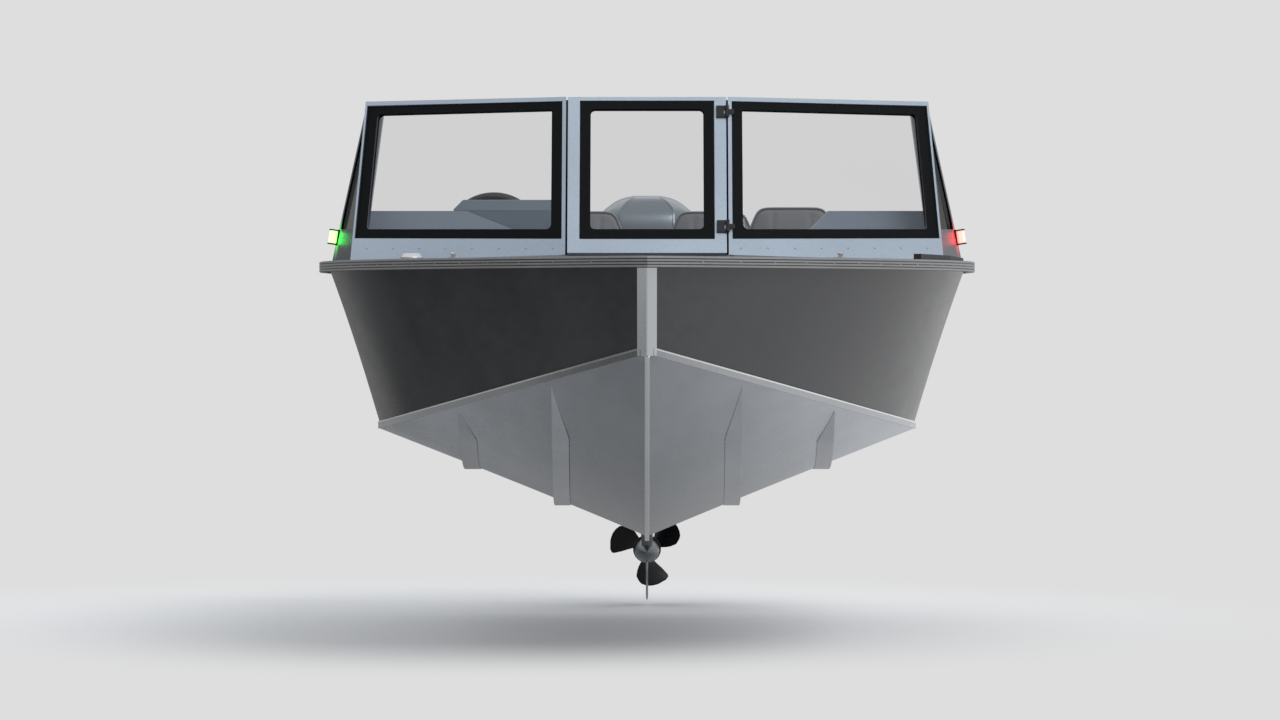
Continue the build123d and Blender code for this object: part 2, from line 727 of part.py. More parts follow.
# Helm: a moulded pod on the starboard console, with the steering wheel on its face
pod_foot = 562.0
pod_nose = 592.0
pod = side_cut([
    (aft(pod_front), dash_height + weld_gap), (aft(pod_front) + 60, pod_top), (aft(dash_back_high) + 10, pod_top),
    (aft(console_back) + 38, pod_nose), (dash_face_y(pod_foot) + 28, pod_foot), (dash_face_y(pod_foot) + 0.5, pod_foot),
    (dash_face_y(dash_height) + 0.5, dash_height + weld_gap),
], (-seat_half_place - pod_half_width, -seat_half_place + pod_half_width + 60))
save("helm_pod", pod)

wheel_radius = 138.0
wheel_grip = 14.0
wheel_tilt = 25.0
wheel_half_place = 489.0
wheel_place = console_back + 105
wheel_height = 647.0
wheel_centre = Vector(-wheel_half_place, aft(wheel_place), wheel_height)
wheel_axis = Vector(0, cos(radians(wheel_tilt)), sin(radians(wheel_tilt)))
wheel_plane = Plane(origin=wheel_centre, x_dir=(1, 0, 0), z_dir=wheel_axis)
wheel = None
for half_turn in (0, 180):
    sections = []
    for step in range(17):
        turn = Rot(0, 0, half_turn + step * 180 / 16)
        ring = [turn * Pos(wheel_radius, 0, 0) * Rot(0, -side * 45, 0) * Pos(wheel_grip, 0, 0) for side in range(8)]
        sections.append([(wheel_plane * spot).position for spot in ring])
    wheel = skin(sections) if wheel is None else wheel + skin(sections)
for turn in (-30, 90, 210):
    spoke = Pos(wheel_radius / 2, 0, -3) * Box(wheel_radius, 30, 6)
    wheel += wheel_plane * (Rot(0, 0, turn) * spoke)
wheel += wheel_plane * (Pos(0, 0, -10) * Cylinder(34, 24))
save("steering_wheel", wheel)

# The steering column comes out of the pod and stops just short of the wheel
column_start = wheel_centre - wheel_axis * 116
column_end = wheel_centre - wheel_axis * 22.3
column = rod(column_start, column_end, 24) - pod
column_pieces = column.solids().sort_by(Axis.Y)
save("steering_column", Pos(0, 0.2, 0) * column_pieces[-1])

# Throttle box on the starboard side deck's lip, with its lever
throttle_place = console_back + 150
throttle_top = 520.0
throttle_x = -(deck_inner(frame_at(throttle_place)) - 1.3)
throttle_y = aft(throttle_place)
throttle = block((throttle_x, throttle_x + 46), (throttle_y - 65, throttle_y + 65), (throttle_top - 70, throttle_top + 20))
throttle = fillet(throttle.edges().filter_by(Axis.X), 18)
lever_x, lever_foot, lever_top = throttle_x + 58, throttle_top - 10, throttle_top + 112
throttle += rod((lever_x - 18, throttle_y, lever_foot), (lever_x + 8, throttle_y, lever_foot), 20)
throttle += rod((lever_x, throttle_y, lever_foot), (lever_x, throttle_y - 20, lever_top), 9)
throttle += rod((lever_x - 18, throttle_y - 21, lever_top), (lever_x + 42, throttle_y - 21, lever_top), 15)
save("throttle_box", throttle)


# Windshield: flat framed panels, each with a black glazing border and a pane
def on_edge(low, high, z):
    """The point at a height on the straight edge from one corner to another."""
    return low + (high - low) * ((z - low.Z) / (high.Z - low.Z))


def inset_corners(corners, low_z, drop, inner, outer):
    """Corners of an opening in a panel: level at its foot, parallel to the top, and inset at each side."""
    foot_inner, foot_outer, top_outer, top_inner = corners
    found = []
    for z_inner, z_outer in ((low_z, low_z), (top_inner.Z - drop, top_outer.Z - drop)):
        left = on_edge(foot_inner, top_inner, z_inner)
        right = on_edge(foot_outer, top_outer, z_outer)
        run = (right - left).normalized()
        found.append((left + run * inner, right - run * outer))
    return [found[0][0], found[0][1], found[1][1], found[1][0]]


def panel(corners, thickness, depth, radius=0.0, shrink=0.0):
    """A flat plate through four corners, its outer face set back by a depth."""
    foot_inner, foot_outer, top_outer, top_inner = corners
    normal = (foot_outer - foot_inner).cross(top_inner - foot_inner)
    plane = Plane(origin=foot_inner, x_dir=foot_outer - foot_inner, z_dir=normal)
    points = [plane.to_local_coords(c) for c in corners]
    outline = make_face(Polyline(*[(q.X, q.Y) for q in points], close=True))
    if shrink:
        outline = offset(outline, amount=-shrink, kind=Kind.INTERSECTION)
    if radius:
        outline = fillet(outline.vertices(), radius)
    solid = extrude(outline, thickness)
    return plane * (Pos(0, 0, -thickness - depth) * solid)


def glazed(corners, low_z, drop, inner, outer, side_seal):
    """A frame plate, the tool that cuts its opening, and the black border and the pane in the opening."""
    hole = inset_corners(corners, low_z, drop, inner, outer)
    clear = inset_corners(corners, low_z + seal_height, drop + seal_height * 0.85, inner + side_seal, outer + side_seal)
    plate = panel(corners, shield_thickness, 0)
    opening = panel(hole, shield_thickness * 3, -shield_thickness)
    border = panel(hole, seal_thickness, 1, shrink=weld_gap)
    border -= panel(clear, seal_thickness * 3, -seal_thickness, radius=14)
    pane = panel(clear, glass_thickness, 1 + (seal_thickness - glass_thickness) / 2, radius=14, shrink=weld_gap)
    return plate, opening, border, pane


def foot_z(half):
    return deck_z(half) + 0.4


foot_drop = 25.0
front_inner = Vector(door_half + door_gap, aft(shield_foot_aft), foot_z(door_half + door_gap))
front_outer = Vector(shield_corner_half, aft(shield_corner_aft), foot_z(shield_corner_half))
top_inner = Vector(door_half + door_gap, aft(shield_foot_aft + shield_rake), shield_height)
top_outer = Vector(shield_corner_top_half, aft(shield_corner_aft + shield_rake), shield_corner_top)
wing_foot_half = frame_at(wing_foot_aft)["sheer_half"] - wing_foot_inset
wing_foot = Vector(wing_foot_half, aft(wing_foot_aft), sheer_height(wing_foot_aft) + 0.6)


def lowered(low, high, drop):
    """A foot corner moved down along its edge, to be cut off level with the deck."""
    return low + (low - high).normalized() * drop


front_corners = [
    lowered(front_inner, top_inner, foot_drop), lowered(front_outer, top_outer, foot_drop), top_outer, top_inner,
]
wing_normal = (wing_foot - front_outer).cross(top_outer - front_outer)
wing_top_y = aft(wing_top_aft)
wing_top_z = shield_corner_top - 4


def wing_x(y, z):
    """The half breadth of the wing's outer face at a Y and a height."""
    return front_outer.X - (wing_normal.Y * (y - front_outer.Y) + wing_normal.Z * (z - front_outer.Z)) / wing_normal.X


wing_top = Vector(wing_x(wing_top_y, wing_top_z), wing_top_y, wing_top_z)
wing_corners = [
    lowered(front_outer, top_outer, foot_drop), lowered(wing_foot, wing_top, foot_drop), wing_top, top_outer,
]

front_plate, front_opening, front_border, front_pane = glazed(front_corners, opening_foot, 13, 14, 8, seal_width)
wing_plate, wing_opening, wing_border, wing_pane = glazed(wing_corners, opening_foot, 16, 26, 26, 18)
below_front = front_cut([(0, 0), (beyond, 0), (beyond, foot_z(beyond)), (0, foot_z(0))], (-beyond, beyond))
wing_cut = side_cut([
    (aft(0), 0), (aft(hull_length), 0), (aft(hull_length), stern_height + 0.6), (aft(0), bow_height + 0.6),
], (0, beyond))
door_side = block((-beyond, door_half + door_gap), (-beyond, beyond), (0, beyond))
shield_frame = (front_plate - below_front) + (wing_plate - wing_cut - below_front)
shield_frame = shield_frame - door_side - front_opening - wing_opening
save("windshield_frames", shield_frame, mirrored(shield_frame))
fixed_borders = [front_border, wing_border]
fixed_panes = [front_pane, wing_pane]
save("windshield_borders", *fixed_borders, *[mirrored(item) for item in fixed_borders])
save("windshield_glass", *fixed_panes, *[mirrored(item) for item in fixed_panes])

# Windshield door: the middle panel, hung on its port edge
door_foot_z = foot_z(door_half) + 5
door_foot_y = aft(shield_foot_aft) + 5 * shield_rake / (shield_height - foot_z(door_half))
door_head_y = aft(shield_foot_aft + shield_rake)
door_corners = [
    Vector(-door_half, door_foot_y, door_foot_z), Vector(door_half, door_foot_y, door_foot_z),
    Vector(door_half, door_head_y, shield_height), Vector(-door_half, door_head_y, shield_height),
]
door_plate, door_opening, door_border, door_pane = glazed(door_corners, opening_foot, 12, 37, 37, 33)
save("door_frame", door_plate - door_opening)
save("door_border", door_border)
save("door_glass", door_pane)

# Door hinges: two knuckles in front of the gap, each with a leaf on the port frame and one on the door
door_rise = Vector(0, door_corners[3].Y - door_corners[0].Y, door_corners[3].Z - door_corners[0].Z).normalized()
door_out = Vector(0, -door_rise.Z, door_rise.Y)
hinge_half = door_half + door_gap / 2
hinge_pin = 7.0
hinge_knuckle = 5.5
HINGE_HEIGHTS = [673.0, 1024.0]
fixed_leaves = []
door_leaves = []
for z in HINGE_HEIGHTS:
    spot = on_edge(door_corners[1], door_corners[2], z)
    centre = Vector(hinge_half, spot.Y, spot.Z) + door_out * hinge_pin
    plane = Plane(origin=centre, x_dir=(1, 0, 0), z_dir=door_rise)
    middle = Cylinder(hinge_knuckle, 16)
    tab = Pos(12, hinge_pin - 3.2, 0) * Box(20, 5, 16)
    fixed_leaves.append(plane * (middle + tab))
    for end in (-1, 1):
        door_leaves.append(plane * (Pos(0, 0, end * 14.2) * Cylinder(hinge_knuckle, 12)))
    leaf = plane * (Pos(-18, hinge_pin - 3.4, 0) * Box(30, 6, 40) - Pos(0, 0, 0) * Box(20, 40, 17))
    door_leaves[-2:] = [leaf + door_leaves[-2] + door_leaves[-1]]
save("door_hinge_posts", *fixed_leaves)
save("door_hinge_leaves", *door_leaves)

# Navigation lights on the wings of the windshield
lamp_aft = wing_foot_aft - 70
lamp_height = 640.0
lamp_spot = Vector(wing_x(aft(lamp_aft), lamp_height), aft(lamp_aft), lamp_height)
lamp_plane = Plane(origin=lamp_spot, x_dir=wing_foot - front_outer, z_dir=wing_normal)
lamp_base = lamp_plane * (Pos(0, 0, 4.3) * Box(50, 50, 8) + Pos(0, 22, 20) * Box(44, 4, 28) + Pos(0, -22, 20) * Box(44, 4, 28))
lamp_lens = lamp_plane * (Pos(0, 0, 20.5) * chamfer(Box(36, 39, 24).edges().filter_by(Axis.Y), 6))
save("nav_light_bases", lamp_base, mirrored(lamp_base))
save("nav_lens_port", lamp_lens)
save("nav_lens_starboard", mirrored(lamp_lens))


# Seats: padded back and pan on a moulded shell
def seat(half, place, back_top, pan_depth):
    """The two pads and the shell of one seat that faces the bow."""
    back_low = back_top - seat_back_height
    outline = Pos(0, seat_back_height / 2) * Rectangle(seat_width, seat_back_height)
    low = outline.vertices().group_by(Axis.Y)[0]
    outline = fillet(low, 45)
    high = outline.vertices().group_by(Axis.Y)[-1]
    outline = fillet(high, seat_shoulder)
    back_front = aft(place) + seat_back_behind
    lean = Pos(half, back_front, back_low) * Rot(90 - 8, 0, 0)
    back = lean * (Pos(0, 0, -seat_back_thickness) * extrude(outline, seat_back_thickness))
    back_shell = lean * (Pos(0, 0, -seat_back_thickness - weld_gap - seat_shell) * extrude(outline, seat_shell))
    pan_top = back_low + 22
    pan_face = fillet(Rectangle(seat_width + 20, pan_depth).vertices(), 60)
    pan_middle = back_front - 6 - pan_depth / 2
    pan = Pos(half, pan_middle, pan_top - seat_pan_thickness) * extrude(pan_face, seat_pan_thickness)
    shell_low = pan_top - seat_pan_thickness - weld_gap - seat_shell
    shell = Pos(half, pan_middle, shell_low) * extrude(pan_face, seat_shell)
    shell_back = back_front + seat_back_thickness + seat_shell
    shell += block((half - 90, half + 90), (pan_middle + 40, shell_back - 4), (shell_low, shell_low + seat_shell))
    shell += side_cut([
        (shell_back - 14, shell_low), (shell_back - 2, shell_low), (shell_back + 12, back_low + 80), (shell_back + 2, back_low + 80),
    ], (half - 90, half + 90)) - back
    shell += back_shell
    return back, pan, shell, shell_low


pedestal_posts = []
for name, half in (("passenger", seat_half_place), ("helm", -seat_half_place)):
    back, pan, shell, shell_low = seat(half, seat_aft_place, seat_back_top, seat_depth - 20)
    swivel = Pos(half, aft(seat_aft_place), shell_low - swivel_plate / 2) * Cylinder(swivel_radius, swivel_plate)
    save(f"{name}_seat_pads", back, pan)
    save(f"{name}_seat_shell", shell + swivel)
    post_top = shell_low - swivel_plate - weld_gap
    post_height = post_top - floor_height - 0.3
    post = Pos(half, aft(seat_aft_place), floor_height + 0.3 + post_height / 2) * Cylinder(pedestal_radius, post_height)
    foot = Pos(half, aft(seat_aft_place), floor_height + 0.3 + pedestal_foot / 2) * Cylinder(pedestal_foot_radius, pedestal_foot)
    pedestal_posts.append(post + foot)
save("seat_pedestals", *pedestal_posts)

aft_pads = []
aft_shells = []
for side in (PORT, STARBOARD):
    back, pan, shell, shell_low = seat(side * aft_seat_half_place, aft_seat_place, aft_seat_back_top, seat_depth - 80)
    aft_pads += [back, pan]
    plinth = block((side * aft_seat_half_place - 120, side * aft_seat_half_place + 120),
                   (aft(aft_seat_place) - 125, aft(aft_seat_place) + 105), (aft_deck_height + 0.3, shell_low + 1))
    aft_shells.append(shell + plinth)
save("aft_seat_pads", *aft_pads)
save("aft_seat_shells", *aft_shells)


# Cleats, and a round cap on the starboard side deck
def deck_cleat(half, place):
    top = sheer_height(place)
    y = aft(place)
    base = block((half - 16, half + 16), (y - 40, y + 40), (top + 0.7, top + 5))
    for offset_y in (-20, 20):
        base += block((half - 6, half + 6), (y + offset_y - 8, y + offset_y + 8), (top + 4, top + 28))
    horn = []
    for along, radius in ((-75, 4), (-35, 9), (35, 9), (75, 4)):
        turns = [radians(22.5 + 45 * side) for side in range(8)]
        horn.append([Vector(half + radius * cos(turn), y + along, top + 30 + radius * sin(turn)) for turn in turns])
    return base + skin(horn)


bow_cleat_place = 900.0
stern_cleat_place = hull_length - 300
fittings = []
for place in (bow_cleat_place, stern_cleat_place):
    half = frame_at(place)["sheer_half"] - 60
    cleat = deck_cleat(half, place)
    fittings += [cleat, mirrored(cleat)]
cap_place = hull_length * 0.28
cap_radius = 33.0
cap_from_lip = 62.0
cap_half = deck_inner(frame_at(cap_place)) + cap_from_lip
cap_top = sheer_height(cap_place)
cap_outline = make_face(Polyline((0, 0), (cap_radius, 0), (cap_radius, 7), (cap_radius - 10, 18), (0, 18), close=True))
cap = revolve(Plane.XZ * cap_outline, Axis.Z)
fittings.append(Pos(-cap_half, aft(cap_place), cap_top + 0.8) * cap)
save("deck_fittings", *fittings, *stern_eyes)

# A low black rail on the port side deck, outside the windshield
sections = []
low_rail_front, low_rail_back, low_rail_width = 1400.0, 2560.0, 22.0
for share, height in ((0, 17), (0.36, 15), (0.76, 11), (1, 5)):
    place = low_rail_front + (low_rail_back - low_rail_front) * share
    outer = frame_at(place)["sheer_half"] - 8
    top = sheer_height(place)
    sections.append([
        Vector(outer - low_rail_width, aft(place), top + 0.6), Vector(outer, aft(place), top + 0.6),
        Vector(outer, aft(place), top + height), Vector(outer - low_rail_width, aft(place), top + height),
    ])
save("side_deck_rail", skin(sections))

# Outboard motor: clamp brackets on the transom
tilt_y, tilt_z = aft(tilt_axis_aft), tilt_axis_height
bracket_gap = 0.4
front_y = transom_y(motor_notch_height, bottom_plate + motor_board)
notch_top = motor_notch_height + bracket_gap
bracket_outline = [
    (transom_y(-20) + bracket_gap, -20), (transom_y(notch_top) + bracket_gap, notch_top),
    (front_y - bracket_gap, notch_top), (front_y - bracket_gap - 6, 190),
    (front_y - 18, 190), (front_y - 16, 262), (tilt_y - 8, 290), (tilt_y + 20, 284), (tilt_y + 24, 240), (tilt_y - 30, -20),
]
tilt_bar_radius = 14.0
clamp = []
for low, high in ((62, 80), (-80, -62)):
    plate = side_cut(bracket_outline, (low, high))
    plate -= rod((low - 5, tilt_y, tilt_z), (high + 5, tilt_y, tilt_z), tilt_bar_radius + 0.05)
    clamp.append(plate)
save("motor_clamp", *clamp)

# Swivel bracket: turns on the tilt bar and holds the king pin
steer_y = aft(steer_axis_aft)
boss_low, boss_high = -30.0, 280.0
swivel = rod((0, steer_y, boss_low), (0, steer_y, boss_high), 34)
swivel += block((-44, 44), (tilt_y, steer_y), (tilt_z - 24, tilt_z + 14))
swivel += side_cut([(tilt_y - 4, tilt_z - 20), (steer_y, tilt_z - 20), (steer_y, 60)], (-12, 12))
swivel += rod((-44, tilt_y, tilt_z), (44, tilt_y, tilt_z), 24)
swivel -= rod((0, steer_y, boss_low - 5), (0, steer_y, boss_high + 5), king_pin_radius + 0.05)
swivel += rod((-96, tilt_y, tilt_z), (96, tilt_y, tilt_z), tilt_bar_radius)
save("motor_swivel", swivel)

# Leg: apron, midsection, plates, gearcase and skeg, with the king pin in its two yokes
apron_low, apron_high = 300.0, cowl_bottom


def stack(rows):
    """A solid through outlines with rounded corners. Each row: height, half width, front, back and corner radius,
    with the front and the back measured from the steering axis."""
    sections = []
    for z, half, front, back, radius in rows:
        centres = [(half - radius, front + radius, -90), (half - radius, back - radius, 0)]
        centres += [(radius - half, back - radius, 90), (radius - half, front + radius, 180)]
        outline = []
        for x, y, start in centres:
            for turn in (0, 30, 60, 90):
                angle = radians(start + turn)
                outline.append(Vector(x + radius * cos(angle), steer_y + y + radius * sin(angle), z))
        sections.append(outline)
    return skin(sections)


yoke_half = 30.0
leg = stack([(apron_low, 150, -15, 440, 70), (apron_high, 176, -28, 470, 70)])
leg += stack([(apron_low + 1, 62, 50, 330, 55), (120, 50, 50, 250, 45), (-305, 34, 65, 270, 30)])
leg += stack([(-326, 95, 80, 510, 60), (-316, 95, 75, 515, 60)])
leg += stack([(-300, 40, 65, 300, 32), (-330, 26, 90, 320, 24), (-440, 20, 130, 310, 18)])
nose, tail = steer_axis_aft + 100, steer_axis_aft + 350
GEARCASE_ROWS = [
    (0, nose), (gearcase_radius * 0.58, nose + 20), (gearcase_radius * 0.93, nose + 65), (gearcase_radius, nose + 130),
    (gearcase_radius * 0.84, tail), (0, tail),
]
gear_outline = make_face(Polyline(*[(r, aft(a), propeller_axis_height) for r, a in GEARCASE_ROWS], close=True))
leg += revolve(gear_outline, Axis((0, 0, propeller_axis_height), (0, 1, 0)))
skeg_top = propeller_axis_height - gearcase_radius / 2
leg += side_cut([
    (aft(nose) + 25, skeg_top), (aft(nose) + 90, skeg_bottom + 20), (aft(nose) + 120, skeg_bottom),
    (aft(tail) - 25, skeg_bottom), (aft(tail) - 15, skeg_top),
], (-4, 4))
for low, high in ((boss_high + 3, apron_low + 2), (boss_low - 28, boss_low - 3)):
    leg += block((-yoke_half, yoke_half), (steer_y - 26, aft(nose)), (low, high))
leg += rod((0, steer_y, boss_low - 20), (0, steer_y, apron_low), king_pin_radius)
shaft_radius = 12.0
hub_front = aft(tail) + 5
hub_length = 105.0
leg += rod((0, aft(tail) - 5, propeller_axis_height), (0, hub_front + hub_length - 14, propeller_axis_height), shaft_radius)
save("motor_leg", leg)

# Cowl: a hollow cover over the engine, and the engine as one block
COWL_ROWS = [
    (cowl_bottom + weld_gap, 178, -48, 475, 60), (480, 190, -58, 492, 70), (660, 186, -50, 480, 75),
    (720, 168, -38, 450, 75), (760, 126, -5, 395, 60), (780, 90, 28, 340, 45), (cowl_top, 50, 80, 270, 35),
]
cowl = stack(COWL_ROWS)
inner_rows = []
for z, half, front, back, radius in COWL_ROWS:
    inner_z = z - cowl_wall if z > 700 else z
    inner_rows.append((inner_z, half - cowl_wall, front + cowl_wall, back - cowl_wall, radius - cowl_wall))
inner_rows[0] = (cowl_bottom - 1,) + inner_rows[0][1:]
cowl -= stack(inner_rows)
save("motor_cowl", cowl)
save("engine_block", block((-115, 115), (steer_y + 50, steer_y + 330), (apron_high + weld_gap, 690)))

# Propeller: three broad blades on a hub, each a twisted lens-shaped section
prop_y = aft(tail) + 50
hub_radius = 37.0
hub = rod((0, hub_front, propeller_axis_height), (0, hub_front + hub_length, propeller_axis_height), hub_radius)
hub -= rod((0, hub_front + 80, propeller_axis_height), (0, hub_front + 120, propeller_axis_height), hub_radius - 7)
BLADE_ROWS = [(30, 80, 7, 42), (62, 108, 6, 33), (100, 112, 4.5, 26), (124, 80, 3, 22), (propeller_radius, 30, 2, 20)]
blade_sections = []
for radius, chord, thickness, pitch in BLADE_ROWS:
    plane = Plane(origin=(radius, 0, 0), x_dir=Vector(0, sin(radians(pitch)), cos(radians(pitch))), z_dir=(1, 0, 0))
    lens = [(-chord / 2, 0), (-chord / 5, -thickness / 2), (chord / 5, -thickness / 2)]
    lens += [(chord / 2, 0), (chord / 5, thickness / 2), (-chord / 5, thickness / 2)]
    blade_sections.append([(plane * Pos(across, along, 0)).position for across, along in lens])
blade = skin(blade_sections)
propeller = hub
for turn in (40, 160, 280):
    propeller += Pos(0, prop_y, propeller_axis_height) * Rot(0, -turn, 0) * blade
shaft_bore = shaft_radius + 0.05
propeller -= rod((0, hub_front - 5, propeller_axis_height), (0, hub_front + 120, propeller_axis_height), shaft_bore)
save("propeller", propeller)
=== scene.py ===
import math
import bmesh
import bpy
from mathutils import Matrix, Vector


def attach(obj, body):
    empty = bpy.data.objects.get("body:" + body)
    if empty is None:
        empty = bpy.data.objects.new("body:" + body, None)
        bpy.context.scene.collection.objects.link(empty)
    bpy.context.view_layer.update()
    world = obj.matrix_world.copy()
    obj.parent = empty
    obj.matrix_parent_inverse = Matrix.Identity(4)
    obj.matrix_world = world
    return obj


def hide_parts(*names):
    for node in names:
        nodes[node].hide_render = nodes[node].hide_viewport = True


# The fixed frame: every piece of the boat as it was built, on the body it moves with.
# X points to port, Y to the stern and Z up, and the origin is at the still water amidships.
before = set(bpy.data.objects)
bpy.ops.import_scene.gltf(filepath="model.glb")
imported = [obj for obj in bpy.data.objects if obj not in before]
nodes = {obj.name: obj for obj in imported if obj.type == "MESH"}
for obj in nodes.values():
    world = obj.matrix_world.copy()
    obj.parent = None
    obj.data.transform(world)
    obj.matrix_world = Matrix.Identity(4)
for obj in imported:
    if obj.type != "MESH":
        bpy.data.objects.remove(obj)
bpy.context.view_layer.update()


# Camera
# A long lens 17 m ahead of the bow, a hand's breadth above the rail, looking slightly down.
camera_data = bpy.data.cameras.new("camera")
camera_data.lens = 177.75
camera_data.sensor_width = 36.0
camera_data.clip_end = 200.0
camera = bpy.data.objects.new("camera", camera_data)
camera.location = (0.0, -19.7, 0.6335)
camera.rotation_euler = (math.radians(90 - 1.088), 0.0, math.radians(0.0635))
bpy.context.collection.objects.link(camera)
bpy.context.scene.camera = camera
bpy.context.scene.view_settings.view_transform = "Standard"


# Studio
# A pale floor under the boat that runs into a backdrop of its own colour. A broad lamp stands high
# ahead on the port side, and the room is darker to starboard, which bare metal and paint reflect.
backdrop_level = 0.73
floor_height = -0.67
floor_reach = 60.0
shadow_middle = (-0.5, 2.0, floor_height)


class Wire:
    """A socket of a shader or a layout. Its operators add maths nodes, and add makes any other node."""

    def __init__(self, tree, socket):
        self.tree, self.socket = tree, socket

    def add(self, kind, settings=None, out=0, **inputs):
        node = self.tree.nodes.new(kind)
        for name, value in (settings or {}).items():
            setattr(node, name, value)
        for name, value in inputs.items():
            key = int(name[1:]) if name[1:].isdigit() else name.replace("_", " ")
            socket = node.inputs[key]
            if isinstance(value, Wire):
                self.tree.links.new(value.socket, socket)
            else:
                socket.default_value = value
        return Wire(self.tree, node.outputs[out])

    def sum(self, operation, other, flip=False):
        first, second = (other, self) if flip else (self, other)
        return self.add("ShaderNodeMath", {"operation": operation}, i0=first, i1=second)

    def __add__(self, other):
        return self.sum("ADD", other)

    def __sub__(self, other):
        return self.sum("SUBTRACT", other)

    def __rsub__(self, other):
        return self.sum("SUBTRACT", other, flip=True)

    def __mul__(self, other):
        return self.sum("MULTIPLY", other)

    __radd__, __rmul__ = __add__, __mul__

    def part(self, axis):
        """One of a vector's three parts."""
        return self.add("ShaderNodeSeparateXYZ", out=axis, Vector=self)

    def distance(self, spot):
        return self.add("ShaderNodeVectorMath", {"operation": "DISTANCE"}, out=1, i0=self, i1=spot)

    def between(self, low, high):
        """0 below low and 1 above high, with a soft step."""
        soft = {"interpolation_type": "SMOOTHSTEP"}
        return self.add("ShaderNodeMapRange", soft, Value=self, From_Min=low, From_Max=high)


def tinted(mask, dark, light):
    """A colour between two, by a mask from 0 to 1. Each is three numbers or a wire."""
    first, second = (side if isinstance(side, Wire) else (*side, 1.0) for side in (dark, light))
    return mask.add("ShaderNodeMix", {"data_type": "RGBA"}, out=2, i0=mask, i6=first, i7=second)


def mixed(share, first, second):
    """Two surfaces mixed by a share."""
    return share.add("ShaderNodeMixShader", i0=share, i1=first, i2=second)


def finish(name, colour, roughness, metallic=0.0, **fixed):
    """A material with its shader node and its object coordinates."""
    material = bpy.data.materials.new(name)
    material.use_nodes = True
    tree = material.node_tree
    shader = tree.nodes["Principled BSDF"]
    shader.inputs["Base Color"].default_value = (*colour, 1.0)
    shader.inputs["Roughness"].default_value = roughness
    shader.inputs["Metallic"].default_value = metallic
    for key, value in fixed.items():
        shader.inputs[key.replace("_", " ")].default_value = value
    place = Wire(tree, tree.nodes.new("ShaderNodeTexCoord").outputs["Object"])
    return material, shader, place


world = bpy.data.worlds.new("studio")
world.use_nodes = True
world_tree = world.node_tree
rays = world_tree.nodes.new("ShaderNodeLightPath").outputs
looked_at = Wire(world_tree, rays["Is Camera Ray"])
straight = looked_at.sum("MAXIMUM", Wire(world_tree, rays["Is Transmission Ray"]))
heading = Wire(world_tree, world_tree.nodes.new("ShaderNodeTexCoord").outputs["Generated"])
walls = heading.part(0).between(-0.7, 0.9) * 0.58 + 0.16
overhead = heading.part(2).between(0.05, 0.5)
room = tinted(walls * (1 - overhead) + overhead * 0.95, (0.0, 0.0, 0.0), (0.97, 1.0, 1.04))
seen = tinted(straight, room, (backdrop_level,) * 3)
world_tree.links.new(seen.socket, world_tree.nodes["Background"].inputs["Color"])
bpy.context.scene.world = world

lamp_data = bpy.data.lights.new("key_lamp", "SUN")
lamp_data.energy = 1.3
lamp_data.angle = math.radians(40)
lamp = bpy.data.objects.new("key_lamp", lamp_data)
lamp.rotation_euler = Vector((0.75, -1.2, 1.0)).to_track_quat("Z", "Y").to_euler()
bpy.context.collection.objects.link(lamp)

floor_corners = [
    (x * floor_reach, y * floor_reach, floor_height) for x, y in ((-1, -1), (1, -1), (1, 1), (-1, 1))]
floor_mesh = bpy.data.meshes.new("studio_floor")
floor_mesh.from_pydata(floor_corners, [], [(0, 1, 2, 3)])
floor = bpy.data.objects.new("studio_floor", floor_mesh)
bpy.context.collection.objects.link(floor)
floor_finish, shader, place = finish("studio_floor", (0.76, 0.76, 0.76), 0.9, Specular_IOR_Level=0.0)
floor_tree = floor_finish.node_tree
glossy = Wire(floor_tree, floor_tree.nodes.new("ShaderNodeLightPath").outputs["Is Glossy Ray"])
reach = place.distance(shadow_middle)
far_glow = place.add("ShaderNodeEmission", Color=(backdrop_level,) * 3 + (1.0,))
# Painted reflection: glossy rays see an emission here in place of the lit floor, darker to starboard and near
# the boat's shadow.
painted_reflection_level = place.part(0).between(-3.0, 2.5) * 0.62 + reach.between(2.5, 6.5) * 0.38
painted_floor_reflection = place.add("ShaderNodeEmission", Color=tinted(painted_reflection_level, (0.03,) * 3, (0.85,) * 3))
plain_floor = mixed(reach.between(1.1, 3.0) * 0.95 + 0.05, Wire(floor_tree, shader.outputs[0]), far_glow)
surface = mixed(glossy, plain_floor, painted_floor_reflection)
floor_tree.links.new(surface.socket, floor_tree.nodes["Material Output"].inputs["Surface"])
floor_mesh.materials.append(floor_finish)


# Bottom plating
# Welded aluminium sheet, one vee folded along the keel, darker at the keel and brighter towards the chines as
# painted shade and light.
# The lines are fair curves; each frame is cut by a plane that rakes with the stem and the transom.
hull_length = 5.0
draft = 0.300
stem_half = 0.022
stem_chine_half = 0.014
stem_chine_height = 0.321
stem_rake, stem_rake_end = 0.61, 2.1
transom_rake, transom_rake_start = 0.122, 3.6
sheer_bow_height, sheer_fall = 0.591, 0.054
sheer_widest, sheer_full_half, sheer_stern_half, sheer_fullness = 2.8, 1.0, 0.955, 2.4
chine_widest, chine_full_half, chine_stern_half, chine_fullness = 3.1, 0.856, 0.85, 1.9
chine_fall, chine_sweep = 0.0182, 0.2744
keel_level_place, keel_turn, keel_fullness = 3.2, 0.8, 2.4
bottom_plate = 0.005
forefoot_lap = 0.008
frame_steps, frame_crowding = 96, 1.35


def aft(distance):
    """The place along Y of a distance behind the bow."""
    return distance - hull_length / 2


def sheer_height(place):
    return sheer_bow_height - sheer_fall * place / hull_length


def breadth(place, widest, full, stem, stern, fullness):
    """Half the hull's width on a line that swells to its full width and closes in a little aft."""
    if place < widest:
        return full - (full - stem) * (1 - place / widest) ** fullness
    return full - (full - stern) * ((place - widest) / (hull_length - widest)) ** 2


